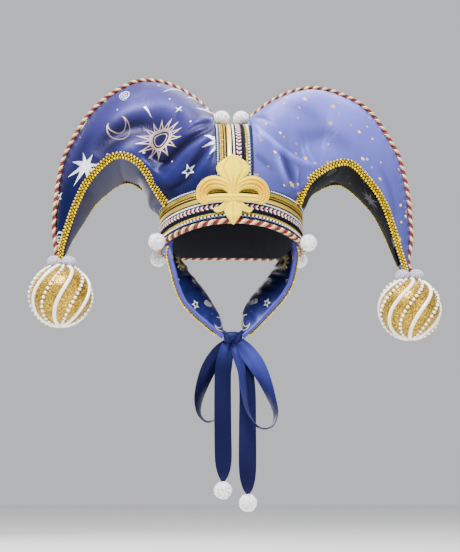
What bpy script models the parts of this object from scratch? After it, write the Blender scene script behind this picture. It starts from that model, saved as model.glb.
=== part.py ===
"""A two-horned jester hat of stuffed satin on a trimmed headband, with padded ear flaps tied under the chin.

Metres, +Z up. The hat faces -Y, and its origin is the inside top of the crown, where the head touches it.
"""

from collections import namedtuple
from math import cos, pi, radians, sin, sqrt

import bmesh
import bpy
import numpy as np
from mathutils import Vector

GAP = 0.0003
CLOTH = 0.002

# The head's hollow is an oval with a half ellipsoid over it. Everything round the head is this oval, grown.
HEAD_HALF_WIDTH = 0.084
HEAD_HALF_DEPTH = 0.098
DOME_FOOT = -0.095
LINING_THICKNESS = 0.0015
LINING_HEM = 0.001
CROWN_GROW = 0.0040
HEADBAND_GROW = 0.0060
CENTRE_BAND_GROW = 0.0070
OVAL_STEPS = 32
DOME_RISES = (18, 36, 54, 72)
CUTTER_FOOT = -0.2

# Heights round the rim: at the front, how much lower at the sides, and how much lower at the back.
CORD_RADIUS = 0.003
RIM_FRONT, RIM_SIDE_DIP, RIM_BACK_DROP = -0.134, 0.0135, 0.004
BAND_TOP_FRONT, BAND_TOP_SIDE_DIP, BAND_TOP_BACK_DROP = -0.0905, 0.008, 0.002

CENTRE_BAND_HALF_WIDTH = 0.0225
CENTRE_BAND_TOP = 0.0104
CENTRE_BAND_THICKNESS = 0.0027
CENTRE_BAND_STEPS = 24
CENTRE_BAND_FOOT_ANGLE = 0.25
UNDER_BAND_CREST = CENTRE_BAND_TOP - CENTRE_BAND_THICKNESS - GAP
GROOVE = 0.0009

BRAID_WIDTH = 0.008
BRAID_THICKNESS = 0.0022
# The share of the braid's width that lies on the horn's panel, on sections at least this half width.
BRAID_OVERLAP, FULL_BRAID_HALF_WIDTH = 0.45, 0.03

BAUBLE_RADIUS = 0.0375
BAUBLE_SEGMENTS, BAUBLE_RINGS = 24, 8
BAUBLE_SWIRLS = 6
BAUBLE_TWIST = 1.1
SWIRL_HEIGHT = 0.0008

POMPOM_RADIUS = 0.010
POMPOM_CORE = 0.88
TIP_POMPOM_SIZE = (0.0087, 0.0087, 0.0065)
TIP_POMPOM_RING = 0.0106
TIP_POMPOM_SEAT = 0.0023

FLEUR_CENTRE_X = -0.002
FLEUR_STANDOFF = CENTRE_BAND_GROW + GAP
FLEUR_RIDGE, FLEUR_EDGE = 0.0030, 0.0016
# Each petal lies a little above the one before it and is a little thicker, so no two faces meet flat.
FLEUR_PETAL_STEP, FLEUR_PETAL_SWELL = 0.00012, 0.012
# Where the fleur-de-lis climbs the rim cord: its start, over what height, and how deep it sinks in.
CORD_RISE_TOP, CORD_RISE_HEIGHT, CORD_RISE_SUNK = -0.122, 0.008, 0.001
FLEUR_BENDS_X = (-0.03, -0.015, 0.0, 0.015, 0.03)
FLEUR_BENDS_Z = (-0.072, -0.0905, -0.1225, -0.1295)

RIBBON_THICKNESS = 0.001
KNOT_CENTRE = (-0.001, -0.0725, -0.268)
KNOT_SIZE = (0.019, 0.016, 0.015)
KNOT_ROUNDING = 0.0045

# Rows over the head start on the oval, at an angle from the front, and end at the seam cord's centre line.
HeadRow = namedtuple("HeadRow", "edge_angle seam_out seam_z")
# Rows along a horn: the gold braid's centre line, half the gusset's width, the seam cord's centre line, how
# sharp the ridge is, how far the gusset bellies out, and how far its back edge is shifted towards the arch.
HornRow = namedtuple("HornRow", "trim_out trim_z half_width seam_out seam_z ridge belly twist")
NeckRow = namedtuple("NeckRow", "out z radius")
Fold = namedtuple("Fold", "out_a z_a out_b z_b depth reach")

LEFT_HEAD_ROWS = (
    HeadRow(15.3, 0.0208, 0.0270),
    HeadRow(21.0, 0.0310, 0.0372),
    HeadRow(29.0, 0.0430, 0.0490),
    HeadRow(38.0, 0.0570, 0.0590),
    HeadRow(48.0, 0.0730, 0.0672),
    HeadRow(57.0, 0.0880, 0.0725),
    HeadRow(66.0, 0.1010, 0.0743),
)
LEFT_HORN_ROWS = (
    HornRow(0.0938, -0.0842, 0.0440, 0.1100, 0.0745, 1.90, 0.0085, 0.000),
    HornRow(0.1017, -0.0683, 0.0460, 0.1190, 0.0735, 1.85, 0.0070, 0.001),
    HornRow(0.1133, -0.0494, 0.0470, 0.1290, 0.0703, 1.80, 0.0055, 0.002),
    HornRow(0.1345, -0.0375, 0.0455, 0.1548, 0.0547, 1.75, 0.0035, 0.006),
    HornRow(0.1480, -0.0408, 0.0420, 0.1725, 0.0385, 1.75, 0.0030, 0.009),
    HornRow(0.1610, -0.0495, 0.0380, 0.1881, 0.0187, 1.75, 0.0028, 0.010),
    HornRow(0.1790, -0.0685, 0.0305, 0.2075, -0.0180, 1.75, 0.0024, 0.009),
    HornRow(0.1866, -0.0830, 0.0270, 0.2150, -0.0400, 1.75, 0.0022, 0.008),
    HornRow(0.1966, -0.1055, 0.0205, 0.2208, -0.0770, 1.80, 0.0018, 0.006),
    HornRow(0.2045, -0.1283, 0.0135, 0.2228, -0.1150, 1.85, 0.0012, 0.002),
    HornRow(0.2077, -0.1406, 0.0100, 0.2220, -0.1330, 1.90, 0.0010, 0.001),
    HornRow(0.2103, -0.1530, 0.0068, 0.2198, -0.1490, 2.00, 0.0008, 0.000),
)
LEFT_NECK = (
    NeckRow(0.2135, -0.1585, 0.0016),
    NeckRow(0.2115, -0.1640, 0.0013),
    NeckRow(0.2108, -0.1688, 0.0013),
)
RIGHT_HEAD_ROWS = (
    HeadRow(15.3, 0.0208, 0.0235),
    HeadRow(21.0, 0.0310, 0.0325),
    HeadRow(29.0, 0.0430, 0.0425),
    HeadRow(37.0, 0.0560, 0.0515),
    HeadRow(46.0, 0.0710, 0.0592),
    HeadRow(55.0, 0.0860, 0.0645),
    HeadRow(64.0, 0.0995, 0.0670),
)
RIGHT_HORN_ROWS = (
    HornRow(0.0870, -0.0811, 0.0455, 0.1100, 0.0675, 1.90, 0.0085, 0.000),
    HornRow(0.0945, -0.0692, 0.0470, 0.1200, 0.0662, 1.85, 0.0070, 0.000),
    HornRow(0.1075, -0.0574, 0.0475, 0.1320, 0.0635, 1.80, 0.0055, 0.000),
    HornRow(0.1331, -0.0435, 0.0460, 0.1580, 0.0527, 1.75, 0.0035, 0.000),
    HornRow(0.1475, -0.0457, 0.0425, 0.1740, 0.0415, 1.75, 0.0030, 0.000),
    HornRow(0.1597, -0.0537, 0.0385, 0.1890, 0.0253, 1.75, 0.0028, 0.000),
    HornRow(0.1816, -0.0793, 0.0305, 0.2110, -0.0120, 1.75, 0.0024, 0.000),
    HornRow(0.1890, -0.0905, 0.0270, 0.2184, -0.0305, 1.75, 0.0022, 0.000),
    HornRow(0.1989, -0.1123, 0.0205, 0.2268, -0.0720, 1.80, 0.0018, 0.000),
    HornRow(0.2070, -0.1370, 0.0135, 0.2296, -0.1140, 1.85, 0.0012, 0.000),
    HornRow(0.2105, -0.1505, 0.0100, 0.2290, -0.1370, 1.90, 0.0010, 0.000),
    HornRow(0.2145, -0.1650, 0.0066, 0.2250, -0.1600, 2.00, 0.0008, 0.000),
)
RIGHT_NECK = (
    NeckRow(0.2205, -0.1712, 0.0016),
    NeckRow(0.2226, -0.1770, 0.0013),
    NeckRow(0.2237, -0.1826, 0.0013),
)
LEFT_FOLDS = (
    Fold(0.026, 0.000, 0.088, -0.050, 0.0050, 0.009),
    Fold(0.024, -0.016, 0.080, -0.076, -0.0040, 0.008),
    Fold(0.060, -0.072, 0.092, -0.080, 0.0040, 0.008),
    Fold(0.092, -0.060, 0.118, -0.014, 0.0030, 0.009),
)
RIGHT_FOLDS = (
    Fold(0.024, 0.002, 0.100, -0.040, -0.0040, 0.009),
    Fold(0.028, -0.018, 0.082, -0.050, 0.0030, 0.009),
    Fold(0.064, -0.046, 0.078, -0.086, 0.0040, 0.007),
    Fold(0.088, -0.060, 0.116, -0.020, 0.0030, 0.009),
)

# Rows down an ear flap, from its front edge to its back edge, and how far it bellies outwards between them.
FlapRow = namedtuple("FlapRow", "front_out front_y front_z rear_out rear_y rear_z belly")
FLAP_EDGE_ANGLE = 62.0
FLAP_STEPS = 3
FLAP_BRAID_STANDOFF, FLAP_BRAID_FIRST = 0.0013, 3
# The share of a narrow flap's width that each braid takes, and the share from its edge to the braid's middle.
FLAP_BRAID_SHARE, FLAP_BRAID_INSET = 0.42, 0.22
# Which way a flap runs down beside the head, and forward and in below the jaw.
FLAP_JAW_Z = -0.2
FLAP_RUN_BESIDE, FLAP_RUN_BELOW = (0.0, 0.0, -1.0), (-0.3, -0.5, -0.8)
LEFT_FLAP_ROWS = (
    FlapRow(0.0765, -0.0500, -0.1640, 0.0690, 0.0380, -0.1610, 0.0090),
    FlapRow(0.0720, -0.0525, -0.1850, 0.0550, 0.0190, -0.1755, 0.0080),
    FlapRow(0.0670, -0.0555, -0.2050, 0.0430, 0.0000, -0.1905, 0.0065),
    FlapRow(0.0585, -0.0590, -0.2240, 0.0330, -0.0165, -0.2065, 0.0050),
    FlapRow(0.0450, -0.0630, -0.2395, 0.0240, -0.0320, -0.2240, 0.0035),
    FlapRow(0.0290, -0.0680, -0.2540, 0.0165, -0.0470, -0.2410, 0.0022),
    FlapRow(0.0132, -0.0755, -0.2680, 0.0132, -0.0680, -0.2640, 0.0006),
)
RIGHT_FLAP_ROWS = (
    FlapRow(0.0765, -0.0500, -0.1620, 0.0680, 0.0380, -0.1590, 0.0090),
    FlapRow(0.0735, -0.0530, -0.1850, 0.0555, 0.0230, -0.1710, 0.0080),
    FlapRow(0.0675, -0.0555, -0.2040, 0.0430, 0.0040, -0.1890, 0.0065),
    FlapRow(0.0560, -0.0590, -0.2210, 0.0310, -0.0130, -0.2045, 0.0050),
    FlapRow(0.0420, -0.0620, -0.2365, 0.0210, -0.0275, -0.2185, 0.0035),
    FlapRow(0.0260, -0.0675, -0.2540, 0.0130, -0.0450, -0.2370, 0.0022),
    FlapRow(0.0112, -0.0755, -0.2680, 0.0112, -0.0680, -0.2640, 0.0006),
)

# Rows along a ribbon: its middle, its width, and how far its face is turned from the front, in degrees.
RibbonRow = namedtuple("RibbonRow", "x y z width turn")
LEFT_TAIL_ROWS = (
    RibbonRow(-0.0020, -0.0718, -0.2759, 0.0080, 0),
    RibbonRow(-0.0075, -0.0720, -0.2870, 0.0130, 0),
    RibbonRow(-0.0122, -0.0725, -0.3050, 0.0180, 0),
    RibbonRow(-0.0128, -0.0735, -0.3300, 0.0195, 6),
    RibbonRow(-0.0126, -0.0740, -0.3750, 0.0197, 0),
    RibbonRow(-0.0121, -0.0735, -0.4090, 0.0192, -5),
    RibbonRow(-0.0120, -0.0732, -0.4250, 0.0130, -3),
    RibbonRow(-0.0125, -0.0730, -0.4344, 0.0030, 0),
)
RIGHT_TAIL_ROWS = (
    RibbonRow(0.0000, -0.0732, -0.2759, 0.0080, 0),
    RibbonRow(0.0070, -0.0728, -0.2880, 0.0130, 0),
    RibbonRow(0.0135, -0.0722, -0.3050, 0.0178, 0),
    RibbonRow(0.0160, -0.0722, -0.3300, 0.0190, -6),
    RibbonRow(0.0160, -0.0730, -0.3750, 0.0199, 0),
    RibbonRow(0.0160, -0.0735, -0.4200, 0.0198, 5),
    RibbonRow(0.0162, -0.0732, -0.4390, 0.0135, 3),
    RibbonRow(0.0162, -0.0730, -0.4487, 0.0030, 0),
)
LEFT_LOOP_ROWS = (
    RibbonRow(-0.0030, -0.0703, -0.2759, 0.0080, 0),
    RibbonRow(-0.0150, -0.0690, -0.2850, 0.0130, 5),
    RibbonRow(-0.0270, -0.0660, -0.3000, 0.0175, 20),
    RibbonRow(-0.0350, -0.0630, -0.3200, 0.0195, 42),
    RibbonRow(-0.0398, -0.0600, -0.3400, 0.0200, 62),
    RibbonRow(-0.0385, -0.0580, -0.3560, 0.0200, 78),
    RibbonRow(-0.0300, -0.0575, -0.3640, 0.0200, 84),
    RibbonRow(-0.0205, -0.0580, -0.3580, 0.0195, 78),
    RibbonRow(-0.0150, -0.0605, -0.3400, 0.0190, 60),
    RibbonRow(-0.0115, -0.0635, -0.3150, 0.0170, 35),
    RibbonRow(-0.0065, -0.0670, -0.2900, 0.0120, 12),
    RibbonRow(-0.0015, -0.0688, -0.2759, 0.0080, 0),
)
RIGHT_LOOP_ROWS = (
    RibbonRow(0.0010, -0.0762, -0.2759, 0.0080, 0),
    RibbonRow(0.0140, -0.0790, -0.2845, 0.0130, -5),
    RibbonRow(0.0255, -0.0820, -0.2985, 0.0175, -20),
    RibbonRow(0.0340, -0.0850, -0.3170, 0.0195, -45),
    RibbonRow(0.0415, -0.0875, -0.3370, 0.0200, -66),
    RibbonRow(0.0465, -0.0890, -0.3560, 0.0200, -80),
    RibbonRow(0.0430, -0.0895, -0.3700, 0.0200, -88),
    RibbonRow(0.0335, -0.0895, -0.3735, 0.0200, -90),
    RibbonRow(0.0240, -0.0890, -0.3680, 0.0200, -88),
    RibbonRow(0.0160, -0.0880, -0.3530, 0.0200, -82),
    RibbonRow(0.0095, -0.0870, -0.3300, 0.0190, -74),
    RibbonRow(0.0050, -0.0850, -0.3080, 0.0160, -60),
    RibbonRow(0.0015, -0.0790, -0.2890, 0.0110, -30),
    RibbonRow(-0.0005, -0.0747, -0.2759, 0.0080, 0),
)

# Petals of the fleur-de-lis, each a spine of points with half widths, as seen from the front.
PetalRow = namedtuple("PetalRow", "x z half_width")
TOP_PETAL = (
    PetalRow(0.0, -0.0527, 0.0006),
    PetalRow(0.0, -0.0570, 0.0072),
    PetalRow(0.0, -0.0620, 0.0142),
    PetalRow(0.0, -0.0690, 0.0193),
    PetalRow(0.0, -0.0760, 0.0176),
    PetalRow(0.0, -0.0830, 0.0117),
    PetalRow(0.0, -0.0890, 0.0072),
    PetalRow(0.0, -0.1040, 0.0032),
)
BOTTOM_PETAL = (
    PetalRow(0.0, -0.1080, 0.0030),
    PetalRow(0.0, -0.1130, 0.0047),
    PetalRow(0.0, -0.1180, 0.0084),
    PetalRow(0.0, -0.1230, 0.0097),
    PetalRow(0.0, -0.1300, 0.0072),
    PetalRow(0.0, -0.1390, 0.0006),
)
SIDE_PETAL = (
    PetalRow(0.0020, -0.1010, 0.0024),
    PetalRow(0.0085, -0.0925, 0.0050),
    PetalRow(0.0170, -0.0885, 0.0070),
    PetalRow(0.0265, -0.0880, 0.0078),
    PetalRow(0.0338, -0.0925, 0.0074),
    PetalRow(0.0370, -0.1000, 0.0062),
    PetalRow(0.0350, -0.1072, 0.0050),
    PetalRow(0.0290, -0.1100, 0.0034),
)
LOWER_CURL = (
    PetalRow(0.0060, -0.1090, 0.0030),
    PetalRow(0.0085, -0.1145, 0.0032),
    PetalRow(0.0130, -0.1190, 0.0033),
    PetalRow(0.0185, -0.1212, 0.0026),
    PetalRow(0.0222, -0.1195, 0.0012),
)
CROSSBAR = (
    PetalRow(-0.0295, -0.1070, 0.0042),
    PetalRow(0.0, -0.1070, 0.0045),
    PetalRow(0.0295, -0.1070, 0.0042),
)

LEFT_BAUBLE = (-0.2108, 0.0, -0.2074)
RIGHT_BAUBLE = (0.2237, 0.0, -0.2212)
TOP_POMPOM = (0.0124, -0.0140, 0.0190)
CORNER_ANGLE = 62.5
CORNER_POMPOM_FORWARD, CORNER_POMPOM_DROP = 0.35, 0.018
TIP_POMPOMS, TIP_POMPOM_FIRST = 3, 90


def principled(name, colour, roughness, metallic=0.0):
    """A material with one colour, roughness and metallic value."""
    material = bpy.data.materials.new(name)
    material.use_nodes = True
    shader = material.node_tree.nodes["Principled BSDF"]
    shader.inputs["Base Color"].default_value = (*colour, 1.0)
    shader.inputs["Roughness"].default_value = roughness
    shader.inputs["Metallic"].default_value = metallic
    material.diffuse_color = (*colour, 1.0)
    return material


def oval(angle, grow):
    """The point (x, y) on the head's oval, grown by a distance, at an angle in radians from the front."""
    return (HEAD_HALF_WIDTH + grow) * sin(angle), -(HEAD_HALF_DEPTH + grow) * cos(angle)


def rim_z(angle):
    """The height of the rim cord's middle at an angle from the front."""
    return RIM_FRONT - RIM_SIDE_DIP * sin(angle) ** 2 - RIM_BACK_DROP * (1 - cos(angle)) / 2


def band_top_z(angle):
    """The height of the headband's top edge at an angle from the front."""
    return BAND_TOP_FRONT - BAND_TOP_SIDE_DIP * sin(angle) ** 2 - BAND_TOP_BACK_DROP * (1 - cos(angle)) / 2


def smooth(rows, steps):
    """The rows of numbers with `steps` spans between each pair, on a curve that passes through them all."""
    rows = np.array(rows, dtype=float)
    padded = np.concatenate([[2 * rows[0] - rows[1]], rows, [2 * rows[-1] - rows[-2]]])
    found = []
    for i in range(len(rows) - 1):
        before, start, end, after = padded[i : i + 4]
        for t in np.arange(steps) / steps:
            found.append(
                start
                + 0.5 * t * (end - before)
                + t**2 * (before - 2.5 * start + 2 * end - 0.5 * after)
                + t**3 * (-0.5 * before + 1.5 * start - 1.5 * end + 0.5 * after)
            )
    return np.array([*found, rows[-1]])


def unit(vector):
    return vector / np.linalg.norm(vector)


def tangents(points):
    return np.array([unit(v) for v in np.gradient(points, axis=0)])


def make_object(name, bm, material, smooth_angle=40):
    """An object from a bmesh, with its normals pointing out, in the hat's collection."""
    bmesh.ops.recalc_face_normals(bm, faces=bm.faces)
    bmesh.ops.triangulate(bm, faces=[f for f in bm.faces if len(f.verts) == 4], quad_method="SHORT_EDGE")
    mesh = bpy.data.meshes.new(name)
    bm.to_mesh(mesh)
    bm.free()
    mesh.materials.append(material)
    mesh.shade_smooth()
    mesh.set_sharp_from_angle(angle=radians(smooth_angle))
    obj = bpy.data.objects.new(name, mesh)
    bpy.data.collections["jester_hat"].objects.link(obj)
    return obj


def loft(name, rings, material, closed=False):
    """A solid through rings of equally many points, with its ends capped unless it is closed round."""
    bm = bmesh.new()
    made = [[bm.verts.new(point) for point in ring] for ring in rings]
    pairs = list(zip(made, made[1:]))
    if closed:
        pairs.append((made[-1], made[0]))
    else:
        bm.faces.new(made[0])
        bm.faces.new(made[-1])
    for ring, after in pairs:
        for i in range(len(ring)):
            j = (i + 1) % len(ring)
            bm.faces.new((ring[i], ring[j], after[j], after[i]))
    return make_object(name, bm, material)


def cord(name, points, radius, material, closed=False, resolution=2):
    """A round cord along a list of points."""
    curve = bpy.data.curves.new(name, "CURVE")
    curve.dimensions = "3D"
    curve.bevel_depth = radius
    curve.bevel_resolution = resolution
    curve.use_fill_caps = not closed
    spline = curve.splines.new("POLY")
    spline.points.add(len(points) - 1)
    for point, place in zip(spline.points, points):
        point.co = (*place, 1.0)
    spline.use_cyclic_u = closed
    curve.materials.append(material)
    obj = bpy.data.objects.new(name, curve)
    bpy.data.collections["jester_hat"].objects.link(obj)
    return obj


def strip(name, middles, across, normals, widths, thickness, material):
    """A flat strip along its middle line, given the directions across it and out of its face."""
    rings = []
    for middle, side, normal, width in zip(middles, across, normals, widths):
        half, up = side * width / 2, normal * thickness / 2
        rings.append([middle - half - up, middle + half - up, middle + half + up, middle - half + up])
    return loft(name, rings, material)


def head_form_rings(grow, foot):
    """Rings of the head's form, grown by a distance, from a foot at a height for each angle to the top."""
    angles = [2 * pi * i / OVAL_STEPS for i in range(OVAL_STEPS)]
    rings = [[(*oval(a, grow), foot(a)) for a in angles], [(*oval(a, grow), DOME_FOOT) for a in angles]]
    height = -DOME_FOOT + grow
    for rise in DOME_RISES:
        share, z = cos(radians(rise)), DOME_FOOT + height * sin(radians(rise))
        rings.append([(x * share, y * share, z) for x, y in (oval(a, grow) for a in angles)])
    return rings, (0.0, 0.0, DOME_FOOT + height)


def head_form(name, grow, foot, material, closed):
    """The head's form as an open dome, or closed at its foot."""
    rings, top = head_form_rings(grow, foot)
    bm = bmesh.new()
    made = [[bm.verts.new(p) for p in ring] for ring in rings]
    pole = bm.verts.new(top)
    for ring, after in zip(made, made[1:]):
        for i in range(OVAL_STEPS):
            j = (i + 1) % OVAL_STEPS
            bm.faces.new((ring[i], ring[j], after[j], after[i]))
    for i in range(OVAL_STEPS):
        bm.faces.new((made[-1][i], made[-1][(i + 1) % OVAL_STEPS], pole))
    if closed:
        bm.faces.new(made[0])
    return make_object(name, bm, material)


def crown_lining(material):
    """The dark lining: a dome of cloth, open at the rim."""
    obj = head_form("crown_lining", 0.0, lambda a: rim_z(a) - LINING_HEM, material, closed=False)
    wall = obj.modifiers.new("wall", "SOLIDIFY")
    wall.thickness = LINING_THICKNESS
    wall.offset = 1.0
    return obj


def head_cutter(material):
    """The room that the head and the lining take up, which is cut out of both horns."""
    obj = head_form("head_cutter", LINING_THICKNESS + GAP, lambda a: CUTTER_FOOT, material, closed=True)
    bpy.data.collections["jester_hat"].objects.unlink(obj)
    bpy.data.collections["cutters"].objects.link(obj)
    obj.hide_render = True
    obj.display_type = "WIRE"
    return obj


class Horn:
    """One horn's shape, worked out from its rows. Out is the distance from the middle of the hat."""

    SIDE_STEPS = 6
    FLOOR_STEPS = 3
    ROW_STEPS = 2
    HEAD_RIDGE = 2.0
    # Sections under the centre band: the angle of the edge, and how far out the crest is.
    MIDDLE_SECTIONS = ((0.1, GAP / 2), (15.0, 0.0227))
    FOLD_START, FOLD_FADE, FOLD_EASE = 0.0235, 0.012, 1.5
    BRAID_STANDOFF, BRAID_NARROWS, BRAID_TIP_WIDTH = 0.0008, 0.7, 0.006
    # Where a braid starts: how many degrees before the gusset, and how far out and up on the headband.
    BRAID_START, BRAID_FOOT_OUT, BRAID_FOOT_UP = 3.0, 0.002, 0.006
    GUSSET_START = 0.8
    GUSSET_INSET = 0.0006

    def __init__(self, side, head_rows, horn_rows, neck, folds):
        self.side, self.folds = side, folds
        self.head_rows, self.horn_rows, self.neck = head_rows, horn_rows, neck
        seam = np.array([(row.seam_out, row.seam_z) for row in (*head_rows, *horn_rows)])
        inward = np.array([(run[1], -run[0]) for run in tangents(seam)])
        self.crests = seam + inward * (CORD_RADIUS + GAP)

    def fold_depth(self, out, z):
        """How far the folds push the cloth in at a place seen from the front."""
        depth = 0.0
        for fold in self.folds:
            start, end = np.array([fold.out_a, fold.z_a]), np.array([fold.out_b, fold.z_b])
            along = end - start
            place = np.array([out, z]) - start
            share = np.clip(place @ along / (along @ along), 0.0, 1.0)
            away = np.linalg.norm(place - share * along)
            depth += fold.depth * np.exp(-((away / fold.reach) ** 2))
        return depth * np.clip((out - self.FOLD_START) / self.FOLD_FADE, 0.0, 1.0)

    def panel(self, edge, crest, half_width, ridge, sign):
        """Points up one panel, from its edge on the gusset or headband to the crest."""
        points = []
        for i in range(self.SIDE_STEPS + 1):
            turn = pi / 2 * i / self.SIDE_STEPS
            out, z = edge + (crest - edge) * sin(turn) ** (2 / ridge)
            y = half_width * max(cos(turn), 0.0) ** (2 / ridge)
            ease = min(1.0, y / half_width * self.FOLD_EASE) * sin(turn * 2) ** 2
            points.append((out, sign * max(y - self.fold_depth(out, z) * ease, 0.0), z))
        return points

    def head_ring(self, angle, crest_out, crest_z, floor_arc=False):
        """The section over the head that stands on the oval at this angle, front and back."""
        out, y = oval(radians(angle), CROWN_GROW)
        crest = np.array([crest_out, crest_z])
        front = np.array([out, band_top_z(radians(angle)) + GAP])
        back = np.array([out, band_top_z(radians(180 - angle)) + GAP])
        ring = self.panel(front, crest, -y, self.HEAD_RIDGE, -1)
        ring += self.panel(back, crest, -y, self.HEAD_RIDGE, 1)[-2::-1]
        for i in range(1, self.FLOOR_STEPS):
            share = i / self.FLOOR_STEPS
            if floor_arc:
                ring.append(self.base_point(180 - angle + (2 * angle - 180) * share, CROWN_GROW))
            else:
                ring.append((out, -y * (1 - 2 * share), back[1] + (front[1] - back[1]) * share))
        return ring

    def base_point(self, angle, grow):
        """A point just above the headband's top edge."""
        return (*oval(radians(angle), grow), band_top_z(radians(angle)) + GAP)

    def frame(self, i):
        """A horn row's cloth edge, crest and the gusset's outward direction, as seen from the front."""
        row = self.horn_rows[i]
        trim, seam = np.array([row.trim_out, row.trim_z]), np.array([row.seam_out, row.seam_z])
        away = unit(trim - seam)
        crest = self.crests[len(self.head_rows) + i]
        before, after = self.horn_rows[max(i - 1, 0)], self.horn_rows[min(i + 1, len(self.horn_rows) - 1)]
        run_out, run_z = after.trim_out - before.trim_out, after.trim_z - before.trim_z
        outward = unit(np.array([run_z, -run_out]))
        edge = trim + away * BRAID_WIDTH * min(BRAID_OVERLAP, row.half_width / FULL_BRAID_HALF_WIDTH)
        return edge, crest, outward, away

    def horn_ring(self, i):
        """The section of the horn at one of its rows."""
        row = self.horn_rows[i]
        edge, crest, outward, away = self.frame(i)
        back_edge = edge + away * row.twist
        ring = self.panel(edge, crest, row.half_width, row.ridge, -1)
        ring += self.panel(back_edge, crest, row.half_width, row.ridge, 1)[-2::-1]
        return ring + self.gusset_line(i, 0.0)[1:-1]

    def gusset_line(self, i, lift):
        """Points across the gusset from back to front at a row, lifted off the horn by a distance."""
        row = self.horn_rows[i]
        edge, _, outward, away = self.frame(i)
        points = []
        for k in range(self.FLOOR_STEPS + 1):
            share = k / self.FLOOR_STEPS
            bow = row.belly * 4 * share * (1 - share) + lift
            out, z = edge + away * row.twist * (1 - share) + outward * bow
            half_width = row.half_width - (self.GUSSET_INSET if lift else 0.0)
            points.append((out, half_width * (1 - 2 * share), z))
        return points

    def neck_ring(self, row):
        """A small round section, in step with the horn's other sections."""
        count = 2 * self.SIDE_STEPS + self.FLOOR_STEPS
        turns = [2 * pi * (i + self.FLOOR_STEPS / 2) / count for i in range(count)]
        return [(row.out - row.radius * cos(t), -row.radius * sin(t), row.z) for t in turns]

    def placed(self, ring):
        return [(self.side * out, y, z) for out, y, z in ring]

    def rings(self):
        """All sections of the horn, from the middle of the hat to its tip."""
        middle = [self.head_ring(angle, out, UNDER_BAND_CREST) for angle, out in self.MIDDLE_SECTIONS]
        head = [
            self.head_ring(row.edge_angle, *crest, floor_arc=row is self.head_rows[-1])
            for row, crest in zip(self.head_rows, self.crests)
        ]
        horn = [head[-1], *(self.horn_ring(i) for i in range(len(self.horn_rows)))]
        neck = [self.neck_ring(row) for row in self.neck]
        return middle + head + list(smooth(horn, self.ROW_STEPS))[1:] + neck

    def body(self, name, material, cutter):
        """The stuffed horn with its half of the crown, hollowed for the head."""
        obj = loft(name, [self.placed(ring) for ring in self.rings()], material)
        hollow = obj.modifiers.new("hollow", "BOOLEAN")
        hollow.operation = "DIFFERENCE"
        hollow.object = cutter
        return obj

    def gusset(self, name, material):
        """The strip of cloth under the horn, from the headband to the tip."""
        start = self.head_rows[-1].edge_angle + self.GUSSET_START
        angles = np.linspace(180 - start, start, self.FLOOR_STEPS + 1)

        def layer(lift):
            lines = [[self.base_point(a, CROWN_GROW + lift) for a in angles]]
            lines.extend(self.gusset_line(i, lift) for i in range(len(self.horn_rows)))
            return smooth(lines, self.ROW_STEPS)

        near, far = layer(GAP), layer(GAP + CLOTH)
        return loft(name, [self.placed([*a, *b[::-1]]) for a, b in zip(near, far)], material)

    def seam_cord(self, name, material):
        """The twisted cord along the crest, from the crown to the tip."""
        over_head = [(row.seam_out, row.seam_z) for row in self.head_rows]
        along_horn = [over_head[-1], *((row.seam_out, row.seam_z) for row in self.horn_rows)]
        places = over_head[:-1] + list(smooth(along_horn, self.ROW_STEPS))
        points = [(self.side * out, 0.0, z) for out, z in places]
        return cord(name, points, CORD_RADIUS, material, resolution=1)

    def braid(self, name, material, sign):
        """The gold braid along the front (-1) or back (+1) edge of the gusset."""
        lines = []
        out_side = BRAID_THICKNESS / 2 + self.BRAID_STANDOFF
        start = radians(self.head_rows[-1].edge_angle - self.BRAID_START)
        base = oval(start, HEADBAND_GROW + self.BRAID_FOOT_OUT)
        foot_z = BAND_TOP_FRONT - BAND_TOP_SIDE_DIP + self.BRAID_FOOT_UP
        lines.append((base[0], sign * (abs(base[1]) + out_side), foot_z))
        for i, row in enumerate(self.horn_rows):
            edge, _, _, away = self.frame(i)
            shift = row.twist if sign > 0 else 0.0
            out, z = edge + away * (shift - BRAID_WIDTH * BRAID_OVERLAP)
            lines.append((out, sign * (row.half_width + out_side), z))
        middles = smooth(lines, self.ROW_STEPS)
        middles[:, 0] *= self.side
        along = tangents(middles)
        normal = np.array([0.0, sign, 0.0])
        across = [unit(np.cross(run, normal)) for run in along]
        normals = [np.cross(a, run) for a, run in zip(across, along)]
        shares = np.linspace(0, 1, len(middles))
        widths = np.interp(shares, [self.BRAID_NARROWS, 1], [BRAID_WIDTH, self.BRAID_TIP_WIDTH])
        return strip(name, middles, across, normals, widths, BRAID_THICKNESS, material)


def trim_profile(low, high, face):
    """The outer face of a trimmed band across its width, with two grooves between its braids."""
    grooved = [(0.0, face), (0.28, face), (0.33, face - GROOVE), (0.38, face), (0.62, face)]
    grooved += [(0.67, face - GROOVE), (0.72, face), (1.0, face)]
    return [(low + (high - low) * share, depth) for share, depth in grooved]


def headband(material):
    """The trimmed band round the head."""
    rings = []
    for i in range(OVAL_STEPS):
        angle = 2 * pi * i / OVAL_STEPS
        low, high = rim_z(angle) + CORD_RADIUS + GAP, band_top_z(angle)
        inner = LINING_THICKNESS + GAP
        outline = [(high, inner), (low, inner), *trim_profile(low, high, HEADBAND_GROW)]
        rings.append([(*oval(angle, grow), z) for z, grow in outline])
    return loft("headband", rings, material, closed=True)


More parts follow.
